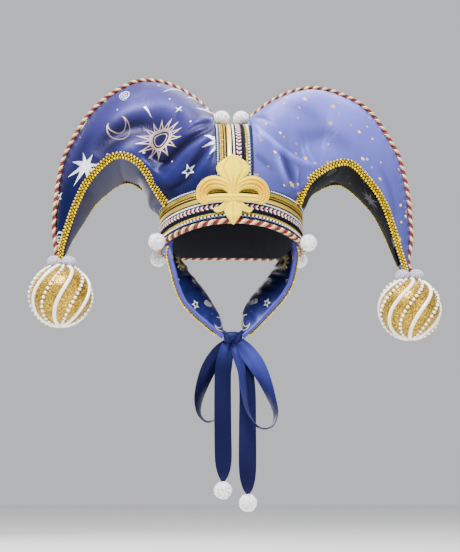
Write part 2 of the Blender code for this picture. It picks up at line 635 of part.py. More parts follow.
def centre_band(material):
    """The trimmed band from the front of the headband over the crown to its back."""
    half = CENTRE_BAND_HALF_WIDTH
    rings = []
    for i in range(CENTRE_BAND_STEPS + 1):
        rise = pi * i / CENTRE_BAND_STEPS
        front_or_back = 0.0 if rise < pi / 2 else pi
        foot = band_top_z(front_or_back) + GAP
        outline = [(x, -CENTRE_BAND_THICKNESS) for x in (half, 0.0, -half)] + trim_profile(-half, half, 0.0)
        ring = []
        for x, depth in outline:
            bow = sqrt(1 - (x / (HEAD_HALF_WIDTH + CENTRE_BAND_GROW)) ** 2)
            dip = (band_top_z(CENTRE_BAND_FOOT_ANGLE) - band_top_z(0.0)) * (x / half) ** 2
            y = -(HEAD_HALF_DEPTH + CENTRE_BAND_GROW + depth) * bow * cos(rise)
            low = foot + dip * abs(cos(rise))
            ring.append((x, y, low + (CENTRE_BAND_TOP + depth - low) * sin(rise)))
        rings.append(ring)
    return loft("centre_band", rings, material)


def rim_cord(material):
    """The twisted cord round the rim."""
    angles = [2 * pi * i / OVAL_STEPS for i in range(OVAL_STEPS)]
    points = [(*oval(a, HEADBAND_GROW), rim_z(a)) for a in angles]
    return cord("rim_cord", points, CORD_RADIUS, material, closed=True)


def ear_flap(prefix, side, rows, outer_material, lining_material, braid_material):
    """A flap's outer cloth and lining, with braid along both edges of its outer face."""
    first = 180 - FLAP_EDGE_ANGLE
    flap_grow = CORD_RADIUS - GAP - CLOTH - GAP / 2
    shares = np.arange(FLAP_STEPS + 1) / FLAP_STEPS
    angles = np.radians(FLAP_EDGE_ANGLE + (first - FLAP_EDGE_ANGLE) * shares)
    top = [(*oval(a, flap_grow), rim_z(a) - LINING_HEM - 2 * GAP) for a in angles]
    lines = [[(side * out, y, z) for out, y, z in top]]
    for row in rows:
        front = np.array([side * row.front_out, row.front_y, row.front_z])
        rear = np.array([side * row.rear_out, row.rear_y, row.rear_z])
        inward, forward, down = FLAP_RUN_BELOW if row.front_z < FLAP_JAW_Z else FLAP_RUN_BESIDE
        outward = unit(np.cross(rear - front, (side * inward, forward, down))) * side
        lines.append([front + (rear - front) * s + outward * row.belly * 4 * s * (1 - s) for s in shares])
    lines = smooth(lines, 2)
    runs = np.gradient(lines, axis=0)
    crosses = np.gradient(lines, axis=1)
    normals = np.cross(runs, crosses) * side
    normals /= np.linalg.norm(normals, axis=2, keepdims=True)
    normals[0] = [unit(np.array([side * oval(a, 0)[0], oval(a, 0)[1], 0.0])) for a in angles]
    middle = GAP / 2

    def layer(name, near, far, material):
        rings = [[*(a + n * near), *(a + n * far)[::-1]] for a, n in zip(lines, normals)]
        return loft(name, rings, material)

    layer(prefix + "_outer", middle, middle + CLOTH, outer_material)
    layer(prefix + "_lining", -middle - CLOTH, -middle, lining_material)
    up = middle + CLOTH + FLAP_BRAID_STANDOFF + BRAID_THICKNESS / 2
    breadths = [np.linalg.norm(a[-1] - a[0]) for a in lines]
    rows_with_braid = range(FLAP_BRAID_FIRST, len(lines) - 1)
    for name, k, inward in ((prefix + "_braid_front", 0, 1), (prefix + "_braid_rear", FLAP_STEPS, -1)):
        middles, across = [], []
        for i in rows_with_braid:
            direction = unit(crosses[i][k])
            inset = min(BRAID_WIDTH / 2, breadths[i] * FLAP_BRAID_INSET)
            middles.append(lines[i][k] + direction * inward * inset + normals[i][k] * up)
            across.append(direction)
        runs_along = tangents(np.array(middles))
        faces = [unit(np.cross(a, run)) for a, run in zip(across, runs_along)]
        flat = [unit(np.cross(run, face)) for run, face in zip(runs_along, faces)]
        widths = [min(BRAID_WIDTH, breadths[i] * FLAP_BRAID_SHARE) for i in rows_with_braid]
        strip(name, middles, flat, faces, widths, BRAID_THICKNESS, braid_material)


def ribbon(name, rows, material):
    """A ribbon along its rows."""
    rows = smooth(rows, 2)
    middles = rows[:, :3]
    across, normals = [], []
    runs = tangents(middles)
    runs[0] = (0.0, 0.0, -1.0)
    runs[-1] = (0.0, 0.0, np.sign(runs[-1][2]))
    for run, turn in zip(runs, rows[:, 4]):
        flat = unit(np.cross(run, np.array([0.0, -1.0, 0.0])))
        face = np.cross(flat, run)
        across.append(flat * cos(radians(turn)) + face * sin(radians(turn)))
        normals.append(face * cos(radians(turn)) - flat * sin(radians(turn)))
    return strip(name, middles, across, normals, rows[:, 3], RIBBON_THICKNESS, material)


def ribbon_knot(material):
    """The knot under the chin."""
    bm = bmesh.new()
    bmesh.ops.create_cube(bm, size=1.0)
    bmesh.ops.scale(bm, verts=bm.verts, vec=KNOT_SIZE)
    bmesh.ops.bevel(bm, geom=bm.edges, offset=KNOT_ROUNDING, segments=2, profile=0.6, affect="EDGES")
    bmesh.ops.translate(bm, verts=bm.verts, vec=KNOT_CENTRE)
    return make_object("ribbon_knot", bm, material, smooth_angle=60)


def fleur_depth(x, z):
    """How far forward the surface under the fleur-de-lis lies, at a place seen from the front."""
    over_cord = np.clip((CORD_RISE_TOP - z) / CORD_RISE_HEIGHT, 0.0, 1.0)
    grow = FLEUR_STANDOFF + (CORD_RADIUS - CORD_RISE_SUNK) * over_cord**2 * (3 - 2 * over_cord)
    bow = sqrt(1 - (x / (HEAD_HALF_WIDTH + grow)) ** 2)
    rise = max(0.0, z - BAND_TOP_FRONT) / (CENTRE_BAND_TOP - BAND_TOP_FRONT)
    return (HEAD_HALF_DEPTH + grow) * bow * sqrt(1 - rise**2)


def petal(name, rows, layer, material):
    """One petal laid flat: thin at its edges, raised along its middle."""
    lift, swell = FLEUR_PETAL_STEP * layer, 1 + FLEUR_PETAL_SWELL * layer
    rows = np.array(rows)
    places = rows[:, :2]
    rings = []
    for (x, z), (run_x, run_z), half in zip(places, tangents(places), rows[:, 2]):
        side_x, side_z = run_z * half, -run_x * half
        outline = [(-1.0, 0.0), (1.0, 0.0), (1.0, FLEUR_EDGE), (0.0, FLEUR_RIDGE), (-1.0, FLEUR_EDGE)]
        rings.append([(x + side_x * s, -lift - up * swell, z + side_z * s) for s, up in outline])
    return loft(name, rings, material)


def mirrored(rows):
    return [PetalRow(-row.x, row.z, row.half_width) for row in rows]


def fleur_de_lis(material):
    """The embroidered fleur-de-lis: its petals joined flat, then bent round the front of the headband."""
    outlines = [CROSSBAR, TOP_PETAL, BOTTOM_PETAL]
    outlines += [SIDE_PETAL, mirrored(SIDE_PETAL), LOWER_CURL, mirrored(LOWER_CURL)]
    petals = [petal(f"petal_{i}", rows, i, material) for i, rows in enumerate(outlines)]
    whole = petals[0]
    for i, other in enumerate(petals[1:]):
        join = whole.modifiers.new(f"join_{i}", "BOOLEAN")
        join.operation = "UNION"
        join.object = other
    bpy.context.view_layer.update()
    joined = bpy.data.meshes.new_from_object(whole.evaluated_get(bpy.context.evaluated_depsgraph_get()))
    for obj in petals:
        bpy.data.objects.remove(obj)
    bm = bmesh.new()
    bm.from_mesh(joined)
    bpy.data.meshes.remove(joined)
    bends = [((x, 0, 0), (1, 0, 0)) for x in FLEUR_BENDS_X] + [((0, 0, z), (0, 0, 1)) for z in FLEUR_BENDS_Z]
    for place, normal in bends:
        everything = bm.verts[:] + bm.edges[:] + bm.faces[:]
        bmesh.ops.bisect_plane(bm, geom=everything, plane_co=place, plane_no=normal)
    for vert in bm.verts:
        x = vert.co.x + FLEUR_CENTRE_X
        vert.co = Vector((x, vert.co.y - fleur_depth(x, vert.co.z), vert.co.z))
    bmesh.ops.remove_doubles(bm, verts=bm.verts, dist=0.00002)
    bmesh.ops.triangulate(bm, faces=bm.faces)
    return make_object("fleur_de_lis", bm, material, smooth_angle=50)


def pompom(name, centre, size, material):
    """A pompom of short tufts round a ball."""
    bm = bmesh.new()
    bmesh.ops.create_icosphere(bm, subdivisions=1, radius=1.0)
    bmesh.ops.poke(bm, faces=bm.faces[:])
    for vert in bm.verts:
        reach = 1.0 if len(vert.link_edges) == 3 else POMPOM_CORE
        direction = vert.co.normalized() * reach
        vert.co = Vector([c + s * d for c, s, d in zip(centre, size, direction)])
    return make_object(name, bm, material, smooth_angle=20)


def bauble(name, centre, side, material):
    """A glittering ball with corded swirls round it, from its top to its bottom."""
    bm = bmesh.new()
    bmesh.ops.create_uvsphere(bm, u_segments=BAUBLE_SEGMENTS, v_segments=BAUBLE_RINGS, radius=BAUBLE_RADIUS)
    for vert in bm.verts:
        level = vert.co.z / BAUBLE_RADIUS
        round_it = np.arctan2(vert.co.y, vert.co.x) + side * BAUBLE_TWIST * level
        swell = SWIRL_HEIGHT * max(0.0, cos(BAUBLE_SWIRLS * round_it)) * (1 - level**4)
        vert.co = vert.co * (1 + swell / BAUBLE_RADIUS) + Vector(centre)
    return make_object(name, bm, material, smooth_angle=50)


def corner_pompoms(material):
    """The pompoms outside the four corners where the flaps leave the rim."""
    reach = CORD_RADIUS + POMPOM_RADIUS - GAP
    for side_name, side in (("left", -1), ("right", 1)):
        for end_name, degrees in (("front", CORNER_ANGLE), ("rear", 180 - CORNER_ANGLE)):
            angle = radians(degrees)
            x, y = oval(angle, HEADBAND_GROW)
            away = unit(np.array([x, y * CORNER_POMPOM_FORWARD, -CORNER_POMPOM_DROP]))
            place = np.array([x, y, rim_z(angle)]) + away * reach
            name = f"corner_pompom_{side_name}_{end_name}"
            pompom(name, (side * place[0], place[1], place[2]), [POMPOM_RADIUS] * 3, material)


def tip_pompoms(side_name, bauble_centre, material):
    """Three small squashed pompoms round a horn's tip, on top of its bauble."""
    height = bauble_centre[2] + BAUBLE_RADIUS + TIP_POMPOM_SIZE[2] - TIP_POMPOM_SEAT
    for i in range(TIP_POMPOMS):
        angle = radians(360 / TIP_POMPOMS * i + TIP_POMPOM_FIRST)
        x = bauble_centre[0] + TIP_POMPOM_RING * cos(angle)
        y = TIP_POMPOM_RING * sin(angle)
        pompom(f"tip_pompom_{side_name}_{i + 1}", (x, y, height), TIP_POMPOM_SIZE, material)


def main():
    for obj in list(bpy.data.objects):
        bpy.data.objects.remove(obj)
    for name in ("jester_hat", "cutters"):
        bpy.context.scene.collection.children.link(bpy.data.collections.new(name))

    satin_print = principled("printed_satin", (0.055, 0.055, 0.30), 0.35)
    lavender = principled("lavender_satin", (0.26, 0.27, 0.68), 0.32)
    grey_lavender = principled("grey_lavender_satin", (0.22, 0.22, 0.38), 0.45)
    navy = principled("navy_satin", (0.02, 0.035, 0.17), 0.35)
    black = principled("black_lining", (0.012, 0.012, 0.016), 0.8)
    trim = principled("metallic_trim", (0.42, 0.36, 0.22), 0.5, 0.4)
    gold = principled("gold_braid", (0.62, 0.46, 0.07), 0.42, 0.5)
    embroidery = principled("yellow_embroidery", (0.85, 0.62, 0.10), 0.55)
    rope = principled("red_and_cream_cord", (0.52, 0.30, 0.22), 0.6)
    white = principled("white_pompom", (0.88, 0.89, 0.90), 0.95)
    dusk = principled("dusk_pompom", (0.30, 0.31, 0.42), 0.95)
    glitter = principled("gold_glitter", (0.62, 0.48, 0.22), 0.4, 0.6)

    crown_lining(black)
    cutter = head_cutter(black)
    left_horn = Horn(-1, LEFT_HEAD_ROWS, LEFT_HORN_ROWS, LEFT_NECK, LEFT_FOLDS)
    right_horn = Horn(1, RIGHT_HEAD_ROWS, RIGHT_HORN_ROWS, RIGHT_NECK, RIGHT_FOLDS)
    sides = (
        ("left", left_horn, LEFT_FLAP_ROWS, LEFT_BAUBLE, satin_print, grey_lavender),
        ("right", right_horn, RIGHT_FLAP_ROWS, RIGHT_BAUBLE, lavender, navy),
    )
    for name, horn, flap_rows, ball, panel_cloth, gusset_cloth in sides:
        side = horn.side
        horn.body(f"horn_{name}", panel_cloth, cutter)
        horn.gusset(f"gusset_{name}", gusset_cloth)
        horn.seam_cord(f"seam_cord_{name}", rope)
        horn.braid(f"horn_braid_{name}_front", gold, -1)
        horn.braid(f"horn_braid_{name}_rear", gold, 1)
        ear_flap(f"flap_{name}", side, flap_rows, lavender, navy, gold)
        bauble(f"bauble_{name}", ball, side, glitter)
        tip_pompoms(name, ball, dusk)
        pompom(f"top_pompom_{name}", (side * TOP_POMPOM[0], *TOP_POMPOM[1:]), [POMPOM_RADIUS] * 3, white)
    corner_pompoms(white)

    headband(trim)
    centre_band(trim)
    rim_cord(rope)
    fleur_de_lis(embroidery)
    ribbon_knot(navy)
    ribbons = (("tail_left", LEFT_TAIL_ROWS), ("tail_right", RIGHT_TAIL_ROWS))
    ribbons += (("loop_left", LEFT_LOOP_ROWS), ("loop_right", RIGHT_LOOP_ROWS))
    for name, rows in ribbons:
        ribbon(f"ribbon_{name}", rows, navy)
    for name, rows in (("left", LEFT_TAIL_ROWS), ("right", RIGHT_TAIL_ROWS)):
        end = rows[-1]
        place = (end.x, end.y, end.z - POMPOM_RADIUS * POMPOM_CORE - GAP)
        pompom(f"ribbon_pompom_{name}", place, [POMPOM_RADIUS] * 3, white)


main()
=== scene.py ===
"""The looks of a two-horned jester hat: stuffed satin horns on a trimmed band, and ear flaps tied in a bow.

Metres, +Z up. The hat faces -Y, and its origin is the inside top of the crown, where the head touches it.
Out is the distance from the middle of the hat, so both sides share one set of formulas.
"""

from __future__ import annotations

import logging
from collections.abc import Callable, Sequence
from dataclasses import dataclass, field
from enum import Enum
from math import ceil, cos, pi, radians, sin, tau
from typing import NamedTuple

import bpy
import numpy as np
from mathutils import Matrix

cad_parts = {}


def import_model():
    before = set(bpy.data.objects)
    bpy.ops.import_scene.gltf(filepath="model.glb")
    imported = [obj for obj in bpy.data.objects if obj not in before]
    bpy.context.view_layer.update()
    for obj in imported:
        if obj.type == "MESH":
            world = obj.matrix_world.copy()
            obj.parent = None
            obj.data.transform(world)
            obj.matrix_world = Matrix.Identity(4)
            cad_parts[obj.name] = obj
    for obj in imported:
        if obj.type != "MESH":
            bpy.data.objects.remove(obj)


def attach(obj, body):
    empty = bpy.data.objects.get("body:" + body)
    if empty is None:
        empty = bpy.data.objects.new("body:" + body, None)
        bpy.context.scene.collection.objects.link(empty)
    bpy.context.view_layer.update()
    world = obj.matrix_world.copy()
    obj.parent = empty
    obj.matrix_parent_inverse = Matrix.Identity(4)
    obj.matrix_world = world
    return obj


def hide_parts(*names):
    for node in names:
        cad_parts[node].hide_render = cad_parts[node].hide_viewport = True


LOG = logging.getLogger("jester_hat")
Array = np.ndarray
Colour = tuple[float, float, float]
Form = tuple[Array, list[Array]]

GAP = 0.0003
CLOTH = 0.002
HEAD_HALF_WIDTH, HEAD_HALF_DEPTH = 0.084, 0.098
DOME_FOOT = -0.095
LINING_THICKNESS, LINING_HEM = 0.0015, 0.001
CROWN_GROW, HEADBAND_GROW, CENTRE_BAND_GROW = 0.0040, 0.0060, 0.0070
CORD_RADIUS = 0.003
RIM_FRONT, RIM_SIDE_DIP, RIM_BACK_DROP = -0.134, 0.0135, 0.004
BAND_TOP_FRONT, BAND_TOP_SIDE_DIP, BAND_TOP_BACK_DROP = -0.0905, 0.008, 0.002
CENTRE_BAND_HALF_WIDTH = 0.0225
CENTRE_BAND_TOP = 0.0104
CENTRE_BAND_THICKNESS = 0.0027
CENTRE_BAND_FOOT_ANGLE = 0.25
UNDER_BAND_CREST = CENTRE_BAND_TOP - CENTRE_BAND_THICKNESS - GAP
BRAID_WIDTH, BRAID_THICKNESS = 0.008, 0.0022
BRAID_OVERLAP, FULL_BRAID_HALF_WIDTH = 0.45, 0.03


class HeadRow(NamedTuple):
    """A section over the head: where it stands on the head's oval, and the seam cord's middle above it."""

    edge_angle: float
    seam_out: float
    seam_z: float


class HornRow(NamedTuple):
    """A section of a horn, as its braid's middle, half width, seam cord's middle, ridge, belly and twist."""

    trim_out: float
    trim_z: float
    half_width: float
    seam_out: float
    seam_z: float
    ridge: float
    belly: float
    twist: float = 0.0


class NeckRow(NamedTuple):
    """A round section where a horn is gathered at its tip."""

    out: float
    z: float
    radius: float


class Fold(NamedTuple):
    """A crease along a curved line seen from the front: its depth, its reach, and its bank to one side."""

    line: tuple[tuple[float, float], ...]
    depth: float
    reach: float
    bank: float = 0.0


class FlapRow(NamedTuple):
    """A row down an ear flap, from its front edge to its back edge, and its belly between them."""

    front_out: float
    front_y: float
    front_z: float
    rear_out: float
    rear_y: float
    rear_z: float
    belly: float


class RibbonRow(NamedTuple):
    """A place along a ribbon: its middle, its width, and how far its face is turned from the front."""

    x: float
    y: float
    z: float
    width: float
    turn: float


class PetalRow(NamedTuple):
    """A place along a petal's spine, as seen from the front, with half its width there."""

    x: float
    z: float
    half_width: float


LEFT_HEAD_ROWS = tuple(HeadRow(*row) for row in (
    (15.3, 0.0208, 0.0270),
    (21.0, 0.0310, 0.0372),
    (29.0, 0.0430, 0.0490),
    (38.0, 0.0570, 0.0590),
    (48.0, 0.0730, 0.0672),
    (57.0, 0.0880, 0.0725),
    (66.0, 0.1010, 0.0743),
))
LEFT_HORN_ROWS = tuple(HornRow(*row) for row in (
    (0.0938, -0.0842, 0.0440, 0.1100, 0.0745, 1.90, 0.0085, 0.000),
    (0.1017, -0.0683, 0.0460, 0.1190, 0.0735, 1.85, 0.0070, 0.001),
    (0.1133, -0.0494, 0.0470, 0.1290, 0.0703, 1.80, 0.0055, 0.002),
    (0.1345, -0.0375, 0.0455, 0.1548, 0.0547, 1.75, 0.0035, 0.006),
    (0.1480, -0.0408, 0.0420, 0.1725, 0.0385, 1.75, 0.0030, 0.009),
    (0.1610, -0.0495, 0.0380, 0.1881, 0.0187, 1.75, 0.0028, 0.010),
    (0.1790, -0.0685, 0.0305, 0.2075, -0.0180, 1.75, 0.0024, 0.009),
    (0.1866, -0.0830, 0.0270, 0.2150, -0.0400, 1.75, 0.0022, 0.008),
    (0.1966, -0.1055, 0.0205, 0.2208, -0.0770, 1.80, 0.0018, 0.006),
    (0.2045, -0.1283, 0.0135, 0.2228, -0.1150, 1.85, 0.0012, 0.002),
    (0.2077, -0.1406, 0.0100, 0.2220, -0.1330, 1.90, 0.0010, 0.001),
    (0.2103, -0.1530, 0.0068, 0.2198, -0.1490, 2.00, 0.0008, 0.000),
))
LEFT_NECK = tuple(NeckRow(*row) for row in (
    (0.2135, -0.1585, 0.0046),
    (0.2115, -0.1640, 0.0033),
    (0.2108, -0.1688, 0.0023),
))
RIGHT_HEAD_ROWS = tuple(HeadRow(*row) for row in (
    (15.3, 0.0208, 0.0235),
    (21.0, 0.0310, 0.0325),
    (29.0, 0.0430, 0.0425),
    (37.0, 0.0560, 0.0515),
    (46.0, 0.0710, 0.0592),
    (55.0, 0.0860, 0.0645),
    (64.0, 0.0995, 0.0670),
))
RIGHT_HORN_ROWS = tuple(HornRow(*row) for row in (
    (0.0870, -0.0811, 0.0455, 0.1100, 0.0675, 1.90, 0.0085),
    (0.0945, -0.0692, 0.0470, 0.1200, 0.0662, 1.85, 0.0070),
    (0.1075, -0.0574, 0.0475, 0.1320, 0.0635, 1.80, 0.0055),
    (0.1331, -0.0435, 0.0460, 0.1580, 0.0527, 1.75, 0.0035),
    (0.1475, -0.0457, 0.0425, 0.1740, 0.0415, 1.75, 0.0030),
    (0.1597, -0.0537, 0.0385, 0.1890, 0.0253, 1.75, 0.0028),
    (0.1816, -0.0793, 0.0305, 0.2110, -0.0120, 1.75, 0.0024),
    (0.1890, -0.0905, 0.0270, 0.2184, -0.0305, 1.75, 0.0022),
    (0.1989, -0.1123, 0.0205, 0.2268, -0.0720, 1.80, 0.0018),
    (0.2070, -0.1370, 0.0135, 0.2296, -0.1140, 1.85, 0.0012),
    (0.2105, -0.1505, 0.0100, 0.2290, -0.1370, 1.90, 0.0010),
    (0.2145, -0.1650, 0.0066, 0.2250, -0.1600, 2.00, 0.0008),
))
RIGHT_NECK = tuple(NeckRow(*row) for row in (
    (0.2205, -0.1712, 0.0046),
    (0.2226, -0.1770, 0.0033),
    (0.2237, -0.1826, 0.0023),
))
LEFT_FOLDS = tuple(Fold(*row) for row in (
    (((0.024, -0.012), (0.052, -0.026), (0.078, -0.044), (0.096, -0.060)), 0.0062, 0.0065, -0.5),
    (((0.024, -0.020), (0.048, -0.040), (0.070, -0.062), (0.086, -0.078)), -0.0045, 0.0050, 0.6),
    (((0.024, -0.026), (0.044, -0.052), (0.060, -0.072)), 0.0048, 0.0050, -0.4),
    (((0.024, -0.002), (0.042, -0.008), (0.060, -0.018)), 0.0026, 0.0040, -0.5),
    (((0.024, 0.004), (0.036, 0.003), (0.050, -0.004)), -0.0018, 0.0034, 0.5),
    (((0.024, -0.044), (0.036, -0.062), (0.048, -0.080)), -0.0026, 0.0036, 0.5),
    (((0.056, -0.078), (0.076, -0.084), (0.094, -0.080)), 0.0042, 0.0046, -0.5),
    (((0.074, -0.050), (0.092, -0.046), (0.108, -0.034)), 0.0034, 0.0052, -0.5),
    (((0.084, -0.070), (0.100, -0.056), (0.112, -0.040)), -0.0024, 0.0034, 0.5),
    (((0.060, 0.020), (0.092, 0.030), (0.128, 0.024), (0.160, 0.006)), -0.0022, 0.0110),
    (((0.098, 0.000), (0.122, -0.003), (0.148, -0.017), (0.166, -0.040)), 0.0064, 0.0140, -0.4),
    (((0.084, -0.010), (0.098, -0.030), (0.104, -0.050)), 0.0040, 0.0090, -0.2),
    (((0.180, -0.010), (0.190, -0.040), (0.196, -0.074)), 0.0016, 0.0050, -0.4),
))
RIGHT_FOLDS = tuple(Fold(*row) for row in (
    (((0.024, -0.004), (0.040, -0.022), (0.062, -0.038), (0.086, -0.047), (0.104, -0.050)),
     -0.0036, 0.0023, 1.0),
    (((0.024, 0.012), (0.036, 0.008), (0.050, 0.000)), 0.0034, 0.0044, -0.5),
    (((0.054, -0.046), (0.060, -0.064), (0.070, -0.086)), -0.0034, 0.0021, 1.0),
    (((0.062, -0.046), (0.070, -0.064), (0.078, -0.084)), 0.0052, 0.0056, -0.3),
    (((0.094, -0.050), (0.088, -0.040), (0.086, -0.028)), -0.0024, 0.0018, 0.8),
    (((0.102, -0.048), (0.094, -0.036), (0.092, -0.022)), -0.0022, 0.0017, 0.8),
    (((0.080, -0.058), (0.079, -0.072), (0.081, -0.088)), -0.0026, 0.0018, 0.6),
    (((0.060, 0.034), (0.098, 0.020), (0.132, -0.006)), 0.0018, 0.0120),
    (((0.092, -0.014), (0.120, -0.010), (0.150, -0.028)), 0.0030, 0.0110, -0.2),
    (((0.024, -0.050), (0.036, -0.058), (0.050, -0.070)), 0.0026, 0.0050, -0.3),
    (((0.190, -0.050), (0.202, -0.080), (0.208, -0.110)), 0.0014, 0.0050, -0.4),
))


def unit(vectors: Array) -> Array:
    """Vectors scaled to length one, along the last axis."""
    return vectors / np.maximum(np.linalg.norm(vectors, axis=-1, keepdims=True), 1e-12)


def smooth(rows: Sequence, steps: int) -> Array:
    """Fills in rows along a curve that passes through them all.

    Args:
        rows: Numbers or points, row by row.
        steps: Spans between each pair of rows.

    Returns:
        The rows and those between them.
    """
    rows = np.asarray(rows, dtype=float)
    padded = np.concatenate([[2 * rows[0] - rows[1]], rows, [2 * rows[-1] - rows[-2]]])
    t = (np.arange(steps) / steps).reshape((-1,) + (1,) * (rows.ndim - 1))
    spans = []
    for i in range(len(rows) - 1):
        before, start, end, after = padded[i : i + 4]
        linear = 0.5 * t * (end - before)
        square = t**2 * (before - 2.5 * start + 2 * end - 0.5 * after)
        cube = t**3 * (-0.5 * before + 1.5 * start - 1.5 * end + 0.5 * after)
        spans.append(start + linear + square + cube)
    return np.concatenate([*spans, rows[-1:]])


def oval(angle: Array | float, grow: Array | float) -> tuple[Array, Array]:
    """The point (x, y) on the head's oval, grown by a distance, at an angle in radians from the front."""
    return (HEAD_HALF_WIDTH + grow) * np.sin(angle), -(HEAD_HALF_DEPTH + grow) * np.cos(angle)


def rim_z(angle: Array | float) -> Array:
    """The height of the rim cord's middle at an angle from the front."""
    return RIM_FRONT - RIM_SIDE_DIP * np.sin(angle) ** 2 - RIM_BACK_DROP * (1 - np.cos(angle)) / 2


def band_top_z(angle: Array | float) -> Array:
    """The height of the headband's top edge at an angle from the front."""
    drop = BAND_TOP_BACK_DROP * (1 - np.cos(angle)) / 2
    return BAND_TOP_FRONT - BAND_TOP_SIDE_DIP * np.sin(angle) ** 2 - drop


def eased(rows: Array, reach: float) -> Array:
    """Averages rows with those beside them; the first and the last stay where they are.

    Args:
        rows: Numbers or points, row by row.
        reach: How many rows the average reaches over.

    Returns:
        The averaged rows.
    """
    far = min(int(reach * 3), len(rows) - 1)
    weights = np.exp(-0.5 * (np.arange(-far, far + 1) / reach) ** 2)
    aside = [(far, far)] + [(0, 0)] * (rows.ndim - 1)
    padded = np.pad(rows, aside, mode="reflect", reflect_type="odd")
    return sum(w * padded[k : k + len(rows)] for k, w in enumerate(weights)) / weights.sum()


def run_along(points: Array) -> Array:
    """How far along a line each of its points is."""
    return np.cumsum(np.linalg.norm(np.diff(points, axis=0, prepend=points[:1]), axis=1))


def spread(values: Sequence[float], count: int) -> Array:
    """A few values laid out evenly, and so many read off between them."""
    return np.interp(np.linspace(0, 1, count), np.linspace(0, 1, len(values)), values)


def paired(across: Array, along: Array) -> Array:
    """Places on the flat cloth, from how far across it and how far along it they lie."""
    return np.stack(np.broadcast_arrays(across, along), axis=-1)


@dataclass
class Path:
    """A line with a direction out of it, which is one for all of it or one for each point."""

    points: Array
    out: Array | Sequence[float]
    closed: bool = False

    def __post_init__(self) -> None:
        """Gives each point its own direction."""
        self.out = np.array(np.broadcast_to(self.out, self.points.shape), dtype=float)

    def along(self) -> Array:
        """Follows the line.

        Returns:
            Its direction at each point.
        """
        if self.closed:
            return unit(np.roll(self.points, -1, axis=0) - np.roll(self.points, 1, axis=0))
        return unit(np.gradient(self.points, axis=0))

    def across(self) -> Array:
        """The direction across the line, square to its own and to the way out."""
        return unit(np.cross(self.along(), self.out))

    def distance(self) -> Array:
        """How far along the line each point is."""
        return run_along(self.points)

    def length(self) -> float:
        """The line's whole length."""
        whole = float(self.distance()[-1])
        return whole + float(np.linalg.norm(self.points[0] - self.points[-1])) if self.closed else whole

    def even(self, spacing: float) -> Path:
        """Spaces the points evenly.

        Args:
            spacing: The distance between points.

        Returns:
            The same line with new points.
        """
        points, out, where = self.points, self.out, self.distance()
        if self.closed:
            points, out = np.vstack([points, points[:1]]), np.vstack([out, out[:1]])
            where = np.append(where, self.length())
        count = max(2, ceil(self.length() / spacing))
        wanted = np.linspace(0.0, self.length(), count + 1)
        if self.closed:
            wanted = wanted[:-1]
        laid = np.column_stack([np.interp(wanted, where, points[:, k]) for k in range(3)])
        outward = np.column_stack([np.interp(wanted, where, out[:, k]) for k in range(3)])
        return Path(laid, unit(outward), self.closed)

    def shifted(self, across: Array | float, out: Array | float) -> Path:
        """The same line moved across and out of itself."""
        across, out = np.reshape(across, (-1, 1)), np.reshape(out, (-1, 1))
        return Path(self.points + self.across() * across + self.out * out, self.out, self.closed)

    def part(self, start: float, end: float) -> Path:
        """The stretch of the line between two shares of its length."""
        first, last = int(start * len(self.points)), int(end * len(self.points))
        return Path(self.points[first:last], self.out[first:last])


